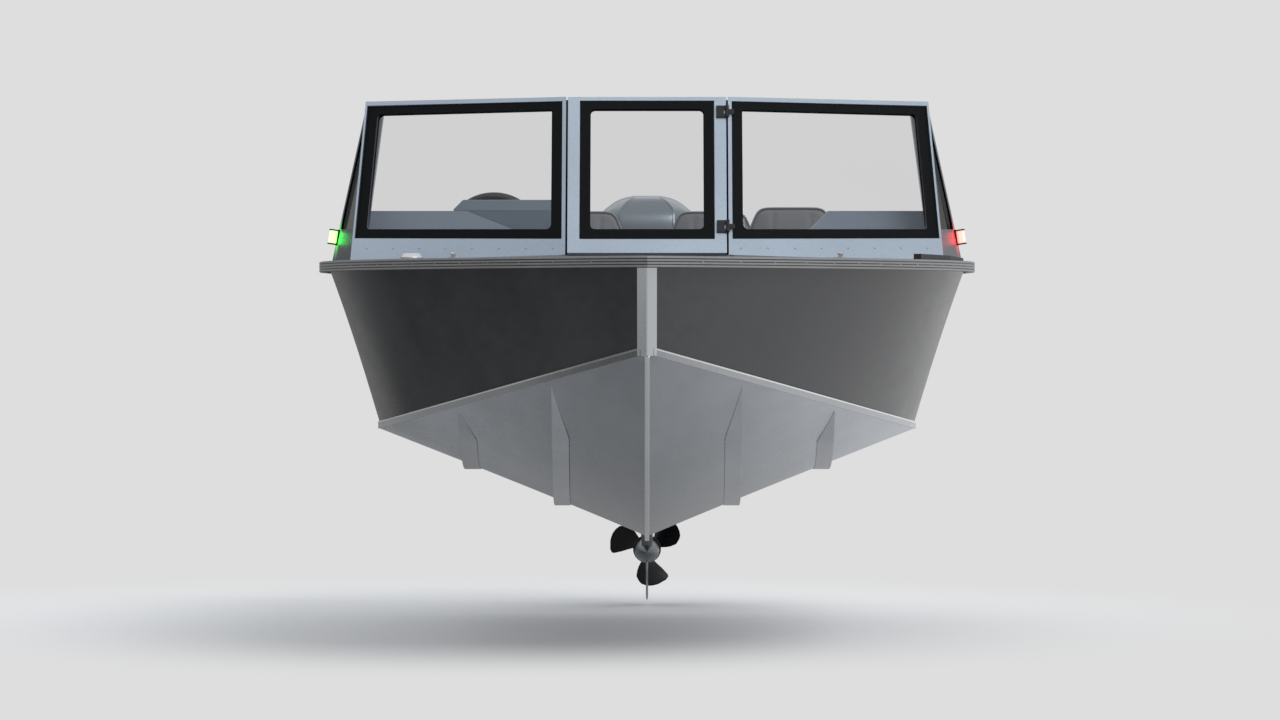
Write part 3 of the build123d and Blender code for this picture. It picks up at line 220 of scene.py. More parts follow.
class Frame:
    """The hull's corners at a place behind the bow, in a raked plane."""

    def __init__(self, place):
        bow_part = max(0.0, 1 - place / stem_rake_end)
        stern_part = max(0.0, (place - transom_rake_start) / (hull_length - transom_rake_start))
        self.place = place
        self.rake = stem_rake * bow_part ** 2 - transom_rake * stern_part
        self.sheer_z = sheer_height(place)
        self.sheer_half = breadth(
            place, sheer_widest, sheer_full_half, stem_half, sheer_stern_half, sheer_fullness)
        self.chine_half = breadth(
            place, chine_widest, chine_full_half, stem_chine_half, chine_stern_half, chine_fullness)
        self.chine_z = stem_chine_height - chine_fall * place - chine_sweep * self.chine_half
        rise = (1 - (place / keel_level_place) ** keel_turn) if place < keel_level_place else 0.0
        forefoot = draft + stem_chine_height - chine_sweep * stem_chine_half
        self.keel_z = forefoot * rise ** keel_fullness - draft

    def at(self, half, height):
        return Vector((half, aft(self.place) + self.rake * (self.sheer_z - height), height))

    def bottom_z(self, half):
        return self.keel_z + (self.chine_z - self.keel_z) * half / self.chine_half


fair_frames = [Frame(hull_length * (step / frame_steps) ** frame_crowding) for step in range(frame_steps + 1)]


def piece(name, verts, faces, material, body, sharp=30.0):
    """A mesh object in the boat's frame, smooth apart from its sharp edges, that rides on a body."""
    mesh = bpy.data.meshes.new(name)
    mesh.from_pydata([tuple(v) for v in verts], [], faces)
    mesh.validate()
    work = bmesh.new()
    work.from_mesh(mesh)
    bmesh.ops.remove_doubles(work, verts=work.verts, dist=1e-6)
    bmesh.ops.recalc_face_normals(work, faces=work.faces)
    work.to_mesh(mesh)
    work.free()
    mesh.shade_smooth()
    mesh.set_sharp_from_angle(angle=math.radians(sharp))
    mesh.materials.append(material)
    item = bpy.data.objects.new(name, mesh)
    bpy.context.collection.objects.link(item)
    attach(item, body)
    return item


def banded(rows, count, first=0):
    """The faces between closed rows of equal counts, with a flat face on each end."""
    faces = []
    for row in range(rows - 1):
        start = first + row * count
        for corner in range(count):
            a, b = start + corner, start + (corner + 1) % count
            faces.append((a, b, b + count, a + count))
    last = first + (rows - 1) * count
    return faces + [tuple(range(first, first + count)), tuple(range(last, last + count))]


def lofted(name, sections, material, body="hull", mirrored=False, sharp=30.0):
    """A closed skin through sections of equal corner counts, on one side or on both."""
    verts, faces = [], []
    for side in ((1, -1) if mirrored else (1,)):
        faces += banded(len(sections), len(sections[0]), len(verts))
        for section in sections:
            verts += [Vector((side * p.x, p.y, p.z)) for p in section]
    return piece(name, verts, faces, material, body, sharp)


def feed(shader, **sockets):
    """Links wires to the shader's sockets."""
    for key, wire in sockets.items():
        wire.tree.links.new(wire.socket, shader.inputs[key.replace("_", " ")])


def grain(place, scale, detail=3.0, stretch=(1.0, 1.0, 1.0)):
    """Noise on object coordinates, drawn out along one axis where it is brushed."""
    moved = place.add("ShaderNodeMapping", Vector=place, Scale=stretch)
    return moved.add("ShaderNodeTexNoise", Vector=moved, Scale=scale, Detail=detail, Roughness=0.55)


def bumped(height, depth, strength=1.0):
    """A relief of a depth in metres."""
    return height.add("ShaderNodeBump", Height=height, Distance=depth, Strength=strength)


def brushed(name, dark, light, roughness, metallic, along=(6.0, 0.2, 6.0), scale=14.0, relief=0.08):
    """Metal or paint with a drawn-out grain, faint cloudy marks and fine scratches."""
    material, shader, place = finish(name, light, roughness, metallic)
    streak = grain(place, scale, 4.0, along)
    cloud = grain(place, 1.8)
    scratch = grain(place, 60.0, 2.0, (1.0, 0.15, 4.0)).between(0.62, 0.75)
    mask = streak * 0.35 + cloud * 0.65
    feed(shader, Base_Color=tinted(mask.between(0.3, 0.7), dark, light))
    feed(shader, Roughness=mask * 0.2 + scratch * 0.06 + (roughness - 0.12))
    feed(shader, Normal=bumped(streak + scratch * 0.4, 0.0003, relief))
    return material


def reopened(material):
    """A finish's shader, its object coordinates and the colour it has so far, to work over."""
    tree = material.node_tree
    shader = tree.nodes["Principled BSDF"]
    place = Wire(tree, tree.nodes["Texture Coordinate"].outputs["Object"])
    return shader, place, Wire(tree, shader.inputs["Base Color"].links[0].from_socket)


bare_metal = brushed(
    "bare_hull_metal", (0.42, 0.452, 0.495), (0.5, 0.536, 0.585), 0.3, 0.85, scale=3.0, relief=0.0)
shader, place, plain = reopened(bare_metal)
# Painted shade and light: the base colour is scaled from dark at the keel to bright at the chines.
painted_shade_scale = place.part(0).sum("ABSOLUTE", 0.0).between(0.0, 0.85) * 0.95 + 0.72
feed(shader, Base_Color=plain.add("ShaderNodeVectorMath", {"operation": "SCALE"}, Vector=plain, Scale=painted_shade_scale))

sections = []
for f in fair_frames:
    keel_low = f.keel_z if f.place > 0 else f.chine_z - forefoot_lap
    half = [
        f.at(0, keel_low), f.at(f.chine_half, f.chine_z),
        f.at(f.chine_half, f.chine_z + bottom_plate), f.at(0, f.keel_z + bottom_plate),
    ]
    sections.append(half + [Vector((-p.x, p.y, p.z)) for p in (half[2], half[1])])
bottom = lofted("hull_bottom", sections, bare_metal, sharp=12.0)
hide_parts("bottom_plating")


# Topsides
# A painted side plate each side, from the chine angle up to the deck's edge.
side_plate = 0.004
deck_plate = 0.004
chine_height = 0.022
weld_gap = 0.0003
charcoal = brushed(
    "charcoal_side_paint", (0.022, 0.0235, 0.0265), (0.039, 0.041, 0.046), 0.32, 0.1, scale=5.0, relief=0.02)
sections = []
for f in fair_frames:
    low, high = f.chine_z + chine_height + weld_gap, f.sheer_z - deck_plate - weld_gap
    sections.append([
        f.at(f.chine_half, low), f.at(f.sheer_half, high),
        f.at(f.sheer_half - side_plate, high), f.at(f.chine_half - side_plate, low),
    ])
sides = lofted("topside_skins", sections, charcoal, mirrored=True)
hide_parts("topsides")


# Chine angles
# An extruded angle welded along each side where the bottom meets the topside, standing a little
# proud. A thin pale strip along its upper outer edge is a painted highlight.
chine_proud = 0.004
chine_leg = 0.010
chine_metal = brushed(
    "chine_angle_metal", (0.34, 0.355, 0.375), (0.4, 0.415, 0.435), 0.26, 0.9, scale=8.0, relief=0.01)
sections = []
for f in fair_frames:
    low, high = f.chine_z + bottom_plate + weld_gap, f.chine_z + chine_height
    inner, seat = max(f.chine_half - chine_leg, 0.008), f.chine_half + weld_gap
    outer, lip = f.chine_half + chine_proud, f.chine_z - 0.001
    sections.append([
        f.at(inner, low), f.at(seat, low), f.at(seat, lip), f.at(outer, lip),
        f.at(outer, high - 0.002), f.at(outer - 0.002, high), f.at(inner, high),
    ])
chines = lofted("chine_angle_pair", sections, chine_metal, mirrored=True)
# Painted highlight: a pale strip laid along each angle's upper outer edge.
highlight_metal = brushed(
    "chine_highlight_finish", (0.72, 0.735, 0.75), (0.8, 0.81, 0.82), 0.2, 0.9, scale=8.0, relief=0.01)
sections = []
for f in fair_frames:
    outer, high = f.chine_half + chine_proud, f.chine_z + chine_height
    sections.append([
        f.at(outer - 0.001, high - 0.0065), f.at(outer + 0.0008, high - 0.0055),
        f.at(outer + 0.0008, high - 0.0015), f.at(outer - 0.0015, high + 0.0005),
        f.at(outer - 0.003, high - 0.001),
    ])
chine_highlight_strips = lofted("chine_highlight_pair", sections, highlight_metal, mirrored=True)
for item in (chines, chine_highlight_strips):
    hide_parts("chine_angles")


# Bottom strakes
# Folded sheet strips welded under the bottom, each with a level sole and an upright outer face. Each
# grows out of the bottom to its full width on its inner side, and its outer edge runs straight aft.
strake_metal = brushed(
    "strake_metal", (0.45, 0.48, 0.52), (0.53, 0.565, 0.615), 0.3, 0.85, scale=3.0, relief=0.0)
strake_width, strake_fold = 0.050, 0.003
strake_end, strake_taper, strake_set = 4.85, 0.3, 2.8
strake_steps = 80
verts, faces = [], []
for bow_edge, full_edge, start in ((0.272, 0.291, 0.58), (0.553, 0.577, 1.34)):
    rows = []
    for step in range(strake_steps + 1):
        f = Frame(start + (strake_end - start) * step / strake_steps)
        grown = min(1.0, (f.place - start) / strake_taper)
        outer = bow_edge + (full_edge - bow_edge) * min(1.0, (f.place - start) / (strake_set - start))
        inner = outer - strake_fold - (strake_width - strake_fold) * grown
        sole = f.bottom_z(inner) - 0.002 * grown
        rows.append([
            f.at(inner, sole + 0.001), f.at(inner + 0.001, sole - 0.001), f.at(outer - 0.001, sole - 0.001),
            f.at(outer, sole), f.at(outer, f.bottom_z(outer) + 0.001),
        ])
    for side in (1, -1):
        faces += banded(len(rows), len(rows[0]), len(verts))
        for row in rows:
            verts += [Vector((side * p.x, p.y, p.z)) for p in row]
strakes = piece("strake_strips", verts, faces, strake_metal, "hull")
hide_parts("bottom_strakes")


# Stem plate and keel bar
# A folded sheet cap over the joint of the two topsides, and a flat bar on edge below the keel.
stem_metal = brushed(
    "stem_cap_metal", (0.56, 0.58, 0.6), (0.62, 0.64, 0.665), 0.3, 0.85,
    along=(3.0, 0.3, 0.3), scale=3.0, relief=0.0)
rail_height = 0.032
cap_half = 0.027
cap_plate = 0.005
stem = fair_frames[0]
stem_foot = stem.chine_z - 0.002
stem_rows = 12
sections = []
for step in range(stem_rows + 1):
    share = step / stem_rows
    z = stem_foot * (1 - share) + (sheer_bow_height - rail_height - 0.001) * share
    y = stem.at(0, z).y
    sweep = 0.015 * (1 - share) + 0.0025 * share
    hull_half = (stem_chine_half + 0.001) * (1 - share) + stem_half * share
    sections.append([
        Vector((-0.0015, y - 0.014, z)), Vector((0.0015, y - 0.014, z)),
        Vector((cap_half, y + sweep - cap_plate, z)), Vector((cap_half, y + sweep, z)),
        Vector((hull_half, y - 0.0005, z)), Vector((0, y - 0.009, z)), Vector((-hull_half, y - 0.0005, z)),
        Vector((-cap_half, y + sweep, z)), Vector((-cap_half, y + sweep - cap_plate, z)),
    ])
stem_cap = lofted("stem_cap", sections, stem_metal, sharp=20.0)
bar_half, bar_depth = 0.007, 0.014
line = [(f.at(0, f.keel_z).y, f.keel_z) for f in fair_frames]
line[0] = (stem.at(0, stem_foot + 0.006).y, stem_foot + 0.006)
sections = []
for number, (y, z) in enumerate(line):
    before, after = line[max(0, number - 1)], line[min(len(line) - 1, number + 1)]
    run = math.hypot(after[0] - before[0], after[1] - before[1])
    lean_y, lean_z = (after[1] - before[1]) / run, -(after[0] - before[0]) / run
    sections.append([Vector((x, y + lean_y * drop, z + lean_z * drop)) for x, drop in (
        (-bar_half, -0.004), (-bar_half, bar_depth - 0.002), (-bar_half + 0.002, bar_depth),
        (bar_half - 0.002, bar_depth), (bar_half, bar_depth - 0.002), (bar_half, -0.004))])
keel_bar = lofted("keel_bar", sections, stem_metal)
for item in (stem_cap, keel_bar):
    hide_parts("stem_and_keel")


# Rub rails
# A satin aluminium extrusion with three grooves, bent round each side and mitred at the bow, with painted
# shade along its grooves and edges.
rail_metal = brushed("rub_rail_metal", (0.2, 0.2, 0.2), (0.26, 0.26, 0.26), 0.4, 0.4, scale=12.0, relief=0.02)
rail_width, groove_depth, groove_height = 0.025, 0.0025, 0.003
shader, place, plain = reopened(rail_metal)
below_top = sheer_height(hull_length / 2) - place.part(1) * (sheer_fall / hull_length) - place.part(2)
# Painted shade: the base colour turns dark in a thin band along each groove and along the rail's top and
# bottom edges.
groove_shade_reach = below_top.sum("PINGPONG", rail_height / 8)
feed(shader, Base_Color=tinted(groove_shade_reach.between(0.0007, 0.0018), (0.05, 0.05, 0.052), plain))
profile = [(0, 0), (rail_width - 0.004, 0), (rail_width - 0.001, -0.001), (rail_width, -0.004)]
for groove in (1, 2, 3):
    middle = -rail_height / 4 * groove
    profile += [
        (rail_width, middle + groove_height / 2), (rail_width - groove_depth, middle + groove_height / 4),
        (rail_width - groove_depth, middle - groove_height / 4), (rail_width, middle - groove_height / 2),
    ]
profile += [(rail_width, -rail_height + 0.002), (rail_width - 0.002, -rail_height), (0, -rail_height)]


def rail_section(x, y, out_x, out_y, top):
    """The rail's profile on a spot of the sheer, turned outward and a little off the plate."""
    return [Vector((x + out_x * (out + 0.0006), y + out_y * (out + 0.0006), top + up)) for out, up in profile]


sections = []
for number, f in enumerate(fair_frames):
    before, after = fair_frames[max(0, number - 1)], fair_frames[min(len(fair_frames) - 1, number + 1)]
    run_x, run_y = after.sheer_half - before.sheer_half, after.place - before.place
    run = math.hypot(run_x, run_y)
    out_x, out_y = run_y / run, -run_x / run
    if number == 0:
        tip = aft(0.0) + f.sheer_half * out_y / out_x
        sections.append(rail_section(weld_gap, tip, 0.0, -1.0 / out_x, f.sheer_z))
    sections.append(rail_section(f.sheer_half, aft(f.place), out_x, out_y, f.sheer_z))
rails = lofted("rub_rail_pair", sections, rail_metal, mirrored=True, sharp=25.0)
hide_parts("rub_rails")


# Rail screws
# Countersunk screws in the rail's middle groove, every 14 cm, set along the rail by Geometry Nodes.
def scattered(name, points, turns, radius, depth, material):
    """Low round heads at points, each turned to face along its direction, made by Geometry Nodes."""
    mesh = bpy.data.meshes.new(name + "_points")
    mesh.from_pydata([tuple(p) for p in points], [], [])
    facing = mesh.attributes.new("facing", "FLOAT_VECTOR", "POINT")
    for number, turn in enumerate(turns):
        facing.data[number].vector = turn
    item = bpy.data.objects.new(name, mesh)
    bpy.context.collection.objects.link(item)
    tree = bpy.data.node_groups.new(name + "_layout", "GeometryNodeTree")
    for way in ("INPUT", "OUTPUT"):
        tree.interface.new_socket("Geometry", in_out=way, socket_type="NodeSocketGeometry")
    sizes = {}
    for label, value in (("Radius", radius), ("Depth", depth)):
        socket = tree.interface.new_socket(label, in_out="INPUT", socket_type="NodeSocketFloat")
        socket.default_value = value
        sizes[socket.identifier] = value
    start = tree.nodes.new("NodeGroupInput").outputs
    spots, width, height = (Wire(tree, start[label]) for label in ("Geometry", "Radius", "Depth"))
    head = width.add(
        "GeometryNodeMeshCone", Vertices=16, Radius_Bottom=width, Radius_Top=width * 0.72, Depth=height)
    named = spots.add("GeometryNodeInputNamedAttribute", {"data_type": "FLOAT_VECTOR"}, Name="facing")
    tilt = named.add("FunctionNodeAlignEulerToVector", {"axis": "Z"}, Vector=named)
    spread = spots.add("GeometryNodeInstanceOnPoints", Points=spots, Instance=head, Rotation=tilt)
    real = spread.add("GeometryNodeRealizeInstances", Geometry=spread)
    painted = real.add("GeometryNodeSetMaterial", Geometry=real, Material=material)
    tree.links.new(painted.socket, tree.nodes.new("NodeGroupOutput").inputs["Geometry"])
    layout = item.modifiers.new("layout", "NODES")
    layout.node_group = tree
    for identifier, value in sizes.items():
        layout[identifier] = value
    seen = item.evaluated_get(bpy.context.evaluated_depsgraph_get())
    made = bpy.data.meshes.new_from_object(seen)
    item.modifiers.clear()
    item.data = made
    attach(item, "hull")


screw_steel, shader, place = finish("screw_steel", (0.55, 0.56, 0.58), 0.3, 1.0)
feed(shader, Roughness=grain(place, 300.0, 2.0) * 0.2 + 0.2)
screw_gap, screws_a_side, tangent_step = 0.14, 35, 0.01
groove_floor = rail_width - groove_depth + 0.0008
points, turns = [], []
for step in range(1, screws_a_side + 1):
    f = Frame(screw_gap * step)
    run_x = Frame(f.place + tangent_step).sheer_half - f.sheer_half
    run = math.hypot(run_x, tangent_step)
    for side in (1, -1):
        out = Vector((side * tangent_step / run, -run_x / run, 0))
        spot = Vector((side * f.sheer_half, aft(f.place), f.sheer_z - rail_height / 2))
        points.append(spot + out * groove_floor)
        turns.append(out)
scattered("rail_screws", points, turns, 0.0026, 0.0012, screw_steel)


# Decks
# Sheet decks, painted a satin grey with a fine non-slip grain, on the foredeck, the sides and the stern.
def clad(material, *names):
    """Gives CAD nodes a finish."""
    for name in names:
        nodes[name].data.materials.clear()
        nodes[name].data.materials.append(material)


deck_paint, shader, place = finish("deck_paint", (0.3, 0.31, 0.33), 0.45)
speckle = grain(place, 420.0, 2.0)
feed(shader, Base_Color=tinted(grain(place, 3.0, 4.0), (0.27, 0.285, 0.3), (0.33, 0.345, 0.36)))
feed(shader, Roughness=speckle * 0.2 + 0.36, Normal=bumped(speckle, 0.0006, 0.4))
clad(deck_paint, "foredeck", "side_decks", "splash_well")


# Transom
# The stern's plate, cut down for the motor and painted like the sides, with its grain upright.
transom_paint = brushed(
    "transom_paint", (0.022, 0.023, 0.025), (0.04, 0.041, 0.044), 0.34, 0.1, along=(6.0, 6.0, 0.3))
clad(transom_paint, "transom")


# Floors
# Woven vinyl glued over sheet, with a fine two-tone weave. The hatch lids are covered like their decks.
vinyl, shader, place = finish("woven_vinyl", (0.16, 0.165, 0.175), 0.7)
warp, weft = (
    place.add("ShaderNodeTexWave", {"bands_direction": way}, out=1, Vector=place, Scale=95.0, Distortion=0.6)
    for way in ("X", "Y"))
weave = warp.sum("MAXIMUM", weft)
threads = weave * 0.6 + grain(place, 30.0) * 0.5
feed(shader, Base_Color=tinted(threads, (0.085, 0.09, 0.1), (0.24, 0.245, 0.255)))
feed(shader, Normal=bumped(weave, 0.0008, 0.5))
clad(vinyl, "cockpit_floor", "bow_platform", "bow_hatch_lid", "aft_deck", "aft_hatch_lid")


# Consoles
# Painted sheet boxes either side of the walkway, with rolled corners, and a drop-down glove box door.
def softened(name, node, width, material, body="hull", segments=2, joined=True):
    """A copy of a CAD mesh with its corners rounded, and its facets joined where no face has a hole."""
    mesh = nodes[node].data.copy()
    mesh.name = name
    work = bmesh.new()
    work.from_mesh(mesh)
    bmesh.ops.remove_doubles(work, verts=work.verts, dist=1e-5)
    if joined:
        bmesh.ops.dissolve_limit(work, angle_limit=math.radians(0.5), verts=work.verts, edges=work.edges)
    work.to_mesh(mesh)
    work.free()
    mesh.shade_smooth()
    mesh.set_sharp_from_angle(angle=math.radians(30))
    mesh.materials.clear()
    mesh.materials.append(material)
    item = bpy.data.objects.new(name, mesh)
    bpy.context.collection.objects.link(item)
    bevel = item.modifiers.new("rounded", "BEVEL")
    bevel.limit_method = "ANGLE"
    bevel.angle_limit = math.radians(35)
    bevel.width = width
    bevel.segments = segments
    bevel.harden_normals = True
    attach(item, body)
    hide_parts(node)
    return item


console_paint, shader, place = finish("console_paint", (0.15, 0.185, 0.23), 0.4)
peel = grain(place, 260.0, 2.0)
feed(shader, Base_Color=tinted(grain(place, 4.0, 4.0), (0.135, 0.165, 0.205), (0.165, 0.2, 0.245)))
feed(shader, Roughness=peel * 0.15 + 0.32, Normal=bumped(peel, 0.0004, 0.3))
softened("port_console_shell", "console_port", 0.004, console_paint)
softened("starboard_console_shell", "console_starboard", 0.004, console_paint)
glovebox = softened("glovebox_flap", "glovebox_door", 0.002, console_paint, body="glove_door")


# Black mouldings
# Pebbled black plastic: the steering column, the throttle box, the rail on the port deck, the rod
# holders' cups and the windshield door's hinges.
black_plastic, shader, place = finish("black_moulding", (0.008, 0.008, 0.009), 0.5, Specular_IOR_Level=0.3)
pebble = grain(place, 500.0, 2.0)
feed(shader, Roughness=pebble * 0.25 + 0.38, Normal=bumped(pebble, 0.0005, 0.4))
clad(black_plastic, "steering_column", "throttle_box", "side_deck_rail", "rod_holders", "door_hinge_posts",
     "door_hinge_leaves")


# Helm pod
# A moulded box over the starboard dash in the console's colour, with its outboard shoulder cut off
# and a plain skirt below its front.
pod_outboard, pod_front, pod_top = -0.6, 0.18, 0.755
pod = softened("helm_pod_shell", "helm_pod", 0.005, console_paint, segments=3)
work = bmesh.new()
work.from_mesh(pod.data)
for vert in work.verts:
    if vert.co.x < pod_outboard:
        vert.co.x += 0.014
    if vert.co.y < pod_front:
        vert.co.y += 0.052
shoulder = [
    edge for edge in work.edges if all(v.co.x < pod_outboard and v.co.z > pod_top for v in edge.verts)]
bmesh.ops.bevel(work, geom=shoulder, offset=0.03, segments=1, affect="EDGES")
work.to_mesh(pod.data)
work.free()
skirt_out, skirt_in, skirt_low, skirt_high = -0.606, -0.275, 0.57, 0.7255
skirt_corners = (
    (skirt_out, skirt_low), (skirt_in, skirt_low), (skirt_in, skirt_high), (skirt_out, skirt_high))
sections = [[Vector((x, y, z)) for x, z in skirt_corners] for y in (0.192, 0.197)]
skirt = lofted("helm_pod_skirt", sections, console_paint)
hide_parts("helm_pod")


# Gauges and switches
# Two large dials and a small one in satin rings on the pod's slanted face, and a row of push
# switches below them.
def turned(name, profile, centre, axis, material, body="hull", steps=48):
    """A piece turned on an axis. The profile is pairs of radius and distance along the axis."""
    turn = Vector(axis).to_track_quat("Z", "Y").to_matrix()
    verts = []
    for radius, along in profile:
        for step in range(steps):
            angle = 2 * math.pi * step / steps
            spot = Vector((radius * math.cos(angle), radius * math.sin(angle), along))
            verts.append(Vector(centre) + turn @ spot)
    return piece(name, verts, banded(len(profile), steps), material, body)


gauge_glass, shader, place = finish("gauge_face", (0.02, 0.02, 0.022), 0.12, Coat_Weight=0.6)
feed(shader, Roughness=grain(place, 40.0) * 0.1 + 0.08)
bezel_metal = brushed("gauge_bezel", (0.4, 0.4, 0.41), (0.6, 0.6, 0.61), 0.25, 0.9, relief=0.02)
slant = 0.7071
face_out = Vector((0, slant, slant))


def on_pod(x, down):
    """A spot on the pod's slanted face, a distance down from its top edge."""
    return Vector((x, 0.3 + down * slant, 0.76 - down * slant))


for number, (x, radius) in enumerate(((-0.53, 0.043), (-0.42, 0.043), (-0.335, 0.026))):
    spot = on_pod(x, 0.06)
    ring = [
        (radius, -0.004), (radius, 0.003), (radius - 0.002, 0.005), (radius - 0.005, 0.005),
        (radius - 0.006, 0.002), (radius - 0.006, -0.004),
    ]
    dial = [(radius - 0.0065, -0.003), (radius - 0.0065, 0.0025), (radius - 0.012, 0.0032), (0.001, 0.0034)]
    turned(f"gauge_bezel_{number}", ring, spot, face_out, bezel_metal)
    turned(f"gauge_face_{number}", dial, spot, face_out, gauge_glass)
button = [(0.008, -0.003), (0.008, 0.002), (0.005, 0.003), (0.004, 0.010), (0.001, 0.0115)]
for number in range(5):
    spot = on_pod(-0.58 + number * 0.034, 0.165)
    turned(f"switch_{number}", button, spot, face_out, black_plastic, steps=20)


# Hatch and glove box latches
# A round flush latch with a slotted key in each hatch lid, and a knob on the glove box door.
latch_ring = [(0.021, -0.001), (0.021, 0.0012), (0.0185, 0.0022), (0.0165, 0.0016), (0.0165, -0.001)]
latch_cup = [(0.0162, -0.0008), (0.0162, 0.0004), (0.006, 0.0006), (0.0055, 0.0018), (0.001, 0.002)]
for name, spot, body in (
    ("bow", (0, -1.262, 0.2295), "bow_hatch"), ("aft", (0.6, 1.672, 0.3095), "aft_hatch"),
):
    turned(name + "_latch_ring", latch_ring, spot, (0, 0, 1), bezel_metal, body)
    turned(name + "_latch_cup", latch_cup, spot, (0, 0, 1), black_plastic, body)
flap_out, flap_up = Vector((0, 0.749, 0.663)), Vector((0, -0.663, 0.749))
flap_spot = Vector((0.67, 0.351, 0.64)) + flap_up * 0.03
knob = [(0.009, -0.0005), (0.009, 0.004), (0.007, 0.007), (0.001, 0.0075)]
found, spot, facing, _ = glovebox.ray_cast(flap_spot + flap_out * 0.2, -flap_out)
if found:
    turned("glovebox_knob", knob, spot, facing, black_plastic, "glove_door", steps=28)


# Windshield
# Flat anodised frames with rounded edges, each with a wide black glazing border and a clear pane. The
# wings that brace them to the side decks carry painted shade, a dark finish on their outward faces, and a
# painted glow from the side lights beside them.
shield_metal = brushed(
    "shield_frame_metal", (0.3, 0.35, 0.41), (0.36, 0.42, 0.49), 0.38, 0.3, scale=24.0, relief=0.03)
wing_shade_paint = brushed("shield_wing_shade_finish", (0.045, 0.05, 0.06), (0.06, 0.066, 0.078), 0.45, 0.1, relief=0.02)
shader, place, _ = reopened(wing_shade_paint)
# Painted light: a red and a green glow painted as emission on each wing round its side light's lens.
painted_glows = []
for side, colour in ((1, (1.0, 0.03, 0.02)), (-1, (0.12, 1.0, 0.08))):
    near = 1 - place.distance((side * 0.99, 0.37, 0.643)).between(0.0, 0.1)
    painted_glows.append(tinted(near * near, (0.0, 0.0, 0.0), colour))
added = {"data_type": "RGBA", "blend_type": "ADD"}
feed(shader, Emission_Color=place.add("ShaderNodeMix", added, out=2, i0=1.0, i6=painted_glows[0], i7=painted_glows[1]))
shader.inputs["Emission Strength"].default_value = 1.4
border_rubber, shader, place = finish("glazing_border", (0.003, 0.0035, 0.004), 0.6, Specular_IOR_Level=0.08)
feed(shader, Roughness=grain(place, 90.0) * 0.2 + 0.5)
frames = softened(
    "windshield_frame_set", "windshield_frames", 0.0015, shield_metal, joined=False)
borders = softened(
    "windshield_border_set", "windshield_borders", 0.0006, border_rubber, joined=False)


wing_lean = 0.02


def flared(item, dark=None):
    """Leans the wings out at their feet, and gives their outward faces a dark finish as painted shade."""
    if dark:
        item.data.materials.append(dark)
        # Painted shade: faces turned outward on the wings take the dark finish.
        for face in item.data.polygons:
            if abs(face.normal.x) > 0.6 and abs(face.center.x) > 0.8:
                face.material_index = 1
    for vert in item.data.vertices:
        back = max(0.0, min(1.0, (vert.co.y + 0.1) / 0.5))
        low = max(0.0, min(1.0, (1.06 - vert.co.z) / 0.46))
        if abs(vert.co.x) > 0.7:
            vert.co.x += math.copysign(wing_lean * back * low, vert.co.x)


flared(frames, wing_shade_paint)
flared(borders, wing_shade_paint)
softened(
    "door_frame_set", "door_frame", 0.0015, shield_metal, body="shield_door", joined=False)
clad(border_rubber, "door_border")


# Windshield panes
# Tempered glass set in the borders, clear ahead and letting only about a third of the light through in
# the wings, which darkens them. Light passes straight through it, so it has no thickness to bend what is seen
# behind it.
def glazing(name, clearness, shine):
    """A thin pane that lets a share of the light through and shines at a glance, on its front face only."""
    pane, shader, place = finish(name, (0.9, 0.9, 0.9), 0.02, 1.0)
    tree = pane.node_tree
    clear = place.add("ShaderNodeBsdfTransparent", Color=(clearness, clearness, clearness, 1.0))
    facing = Wire(tree, tree.nodes.new("ShaderNodeLayerWeight").outputs["Facing"])
    back_side = Wire(tree, tree.nodes.new("ShaderNodeNewGeometry").outputs["Backfacing"])
    gloss = (facing.sum("POWER", 4.0) * shine + 0.02) * (1 - back_side)
    surface = mixed(gloss, clear, Wire(tree, shader.outputs[0]))
    tree.links.new(surface.socket, tree.nodes["Material Output"].inputs["Surface"])
    return pane


clear_pane, dim_pane = glazing("windshield_pane", 0.93, 0.5), glazing("dim_wing_pane", 0.36, 0.1)
panes = softened(
    "windshield_pane_set", "windshield_glass", 0.0004, clear_pane, segments=1, joined=False)
panes.data.materials.append(dim_pane)
# The wing panes let only about a third of the light through, which keeps the wings dark.
for face in panes.data.polygons:
    if abs(face.center.x) > 0.8 and face.center.y > -0.06:
        face.material_index = 1
flared(panes)
clad(clear_pane, "door_glass")


# Windshield screws and door seals
# A row of screws along the foot of each fixed frame, and a rubber strip behind each edge of the door
# that closes the gap beside it.
foot_line, first_screw, foot_gap = 0.609, 0.285, 0.083
points, turns = [], []
for side in (1, -1):
    for step in range(8):
        ahead = Vector((side * (first_screw + foot_gap * step), -2.0, foot_line))
        found, spot, facing, _ = frames.ray_cast(ahead, Vector((0, 1, 0)))
        if found:
            points.append(spot)
            turns.append(facing)
scattered("shield_foot_screws", points, turns, 0.0035, 0.002, shield_metal)
door_foot, door_head = (-0.5592, 0.590), (-0.3137, 1.0632)
seal_in, seal_out, behind = 0.2395, 0.2555, Vector((0, 0.0045, -0.0023))
for side in (1, -1):
    sections = []
    for y, z in (door_foot, door_head):
        sections.append([
            Vector((side * x, y, z)) + behind * depth
            for x, depth in ((seal_in, 0.4), (seal_out, 0.4), (seal_out, 1), (seal_in, 1))])
    lofted(f"door_seal_{side + 2}", sections, border_rubber)


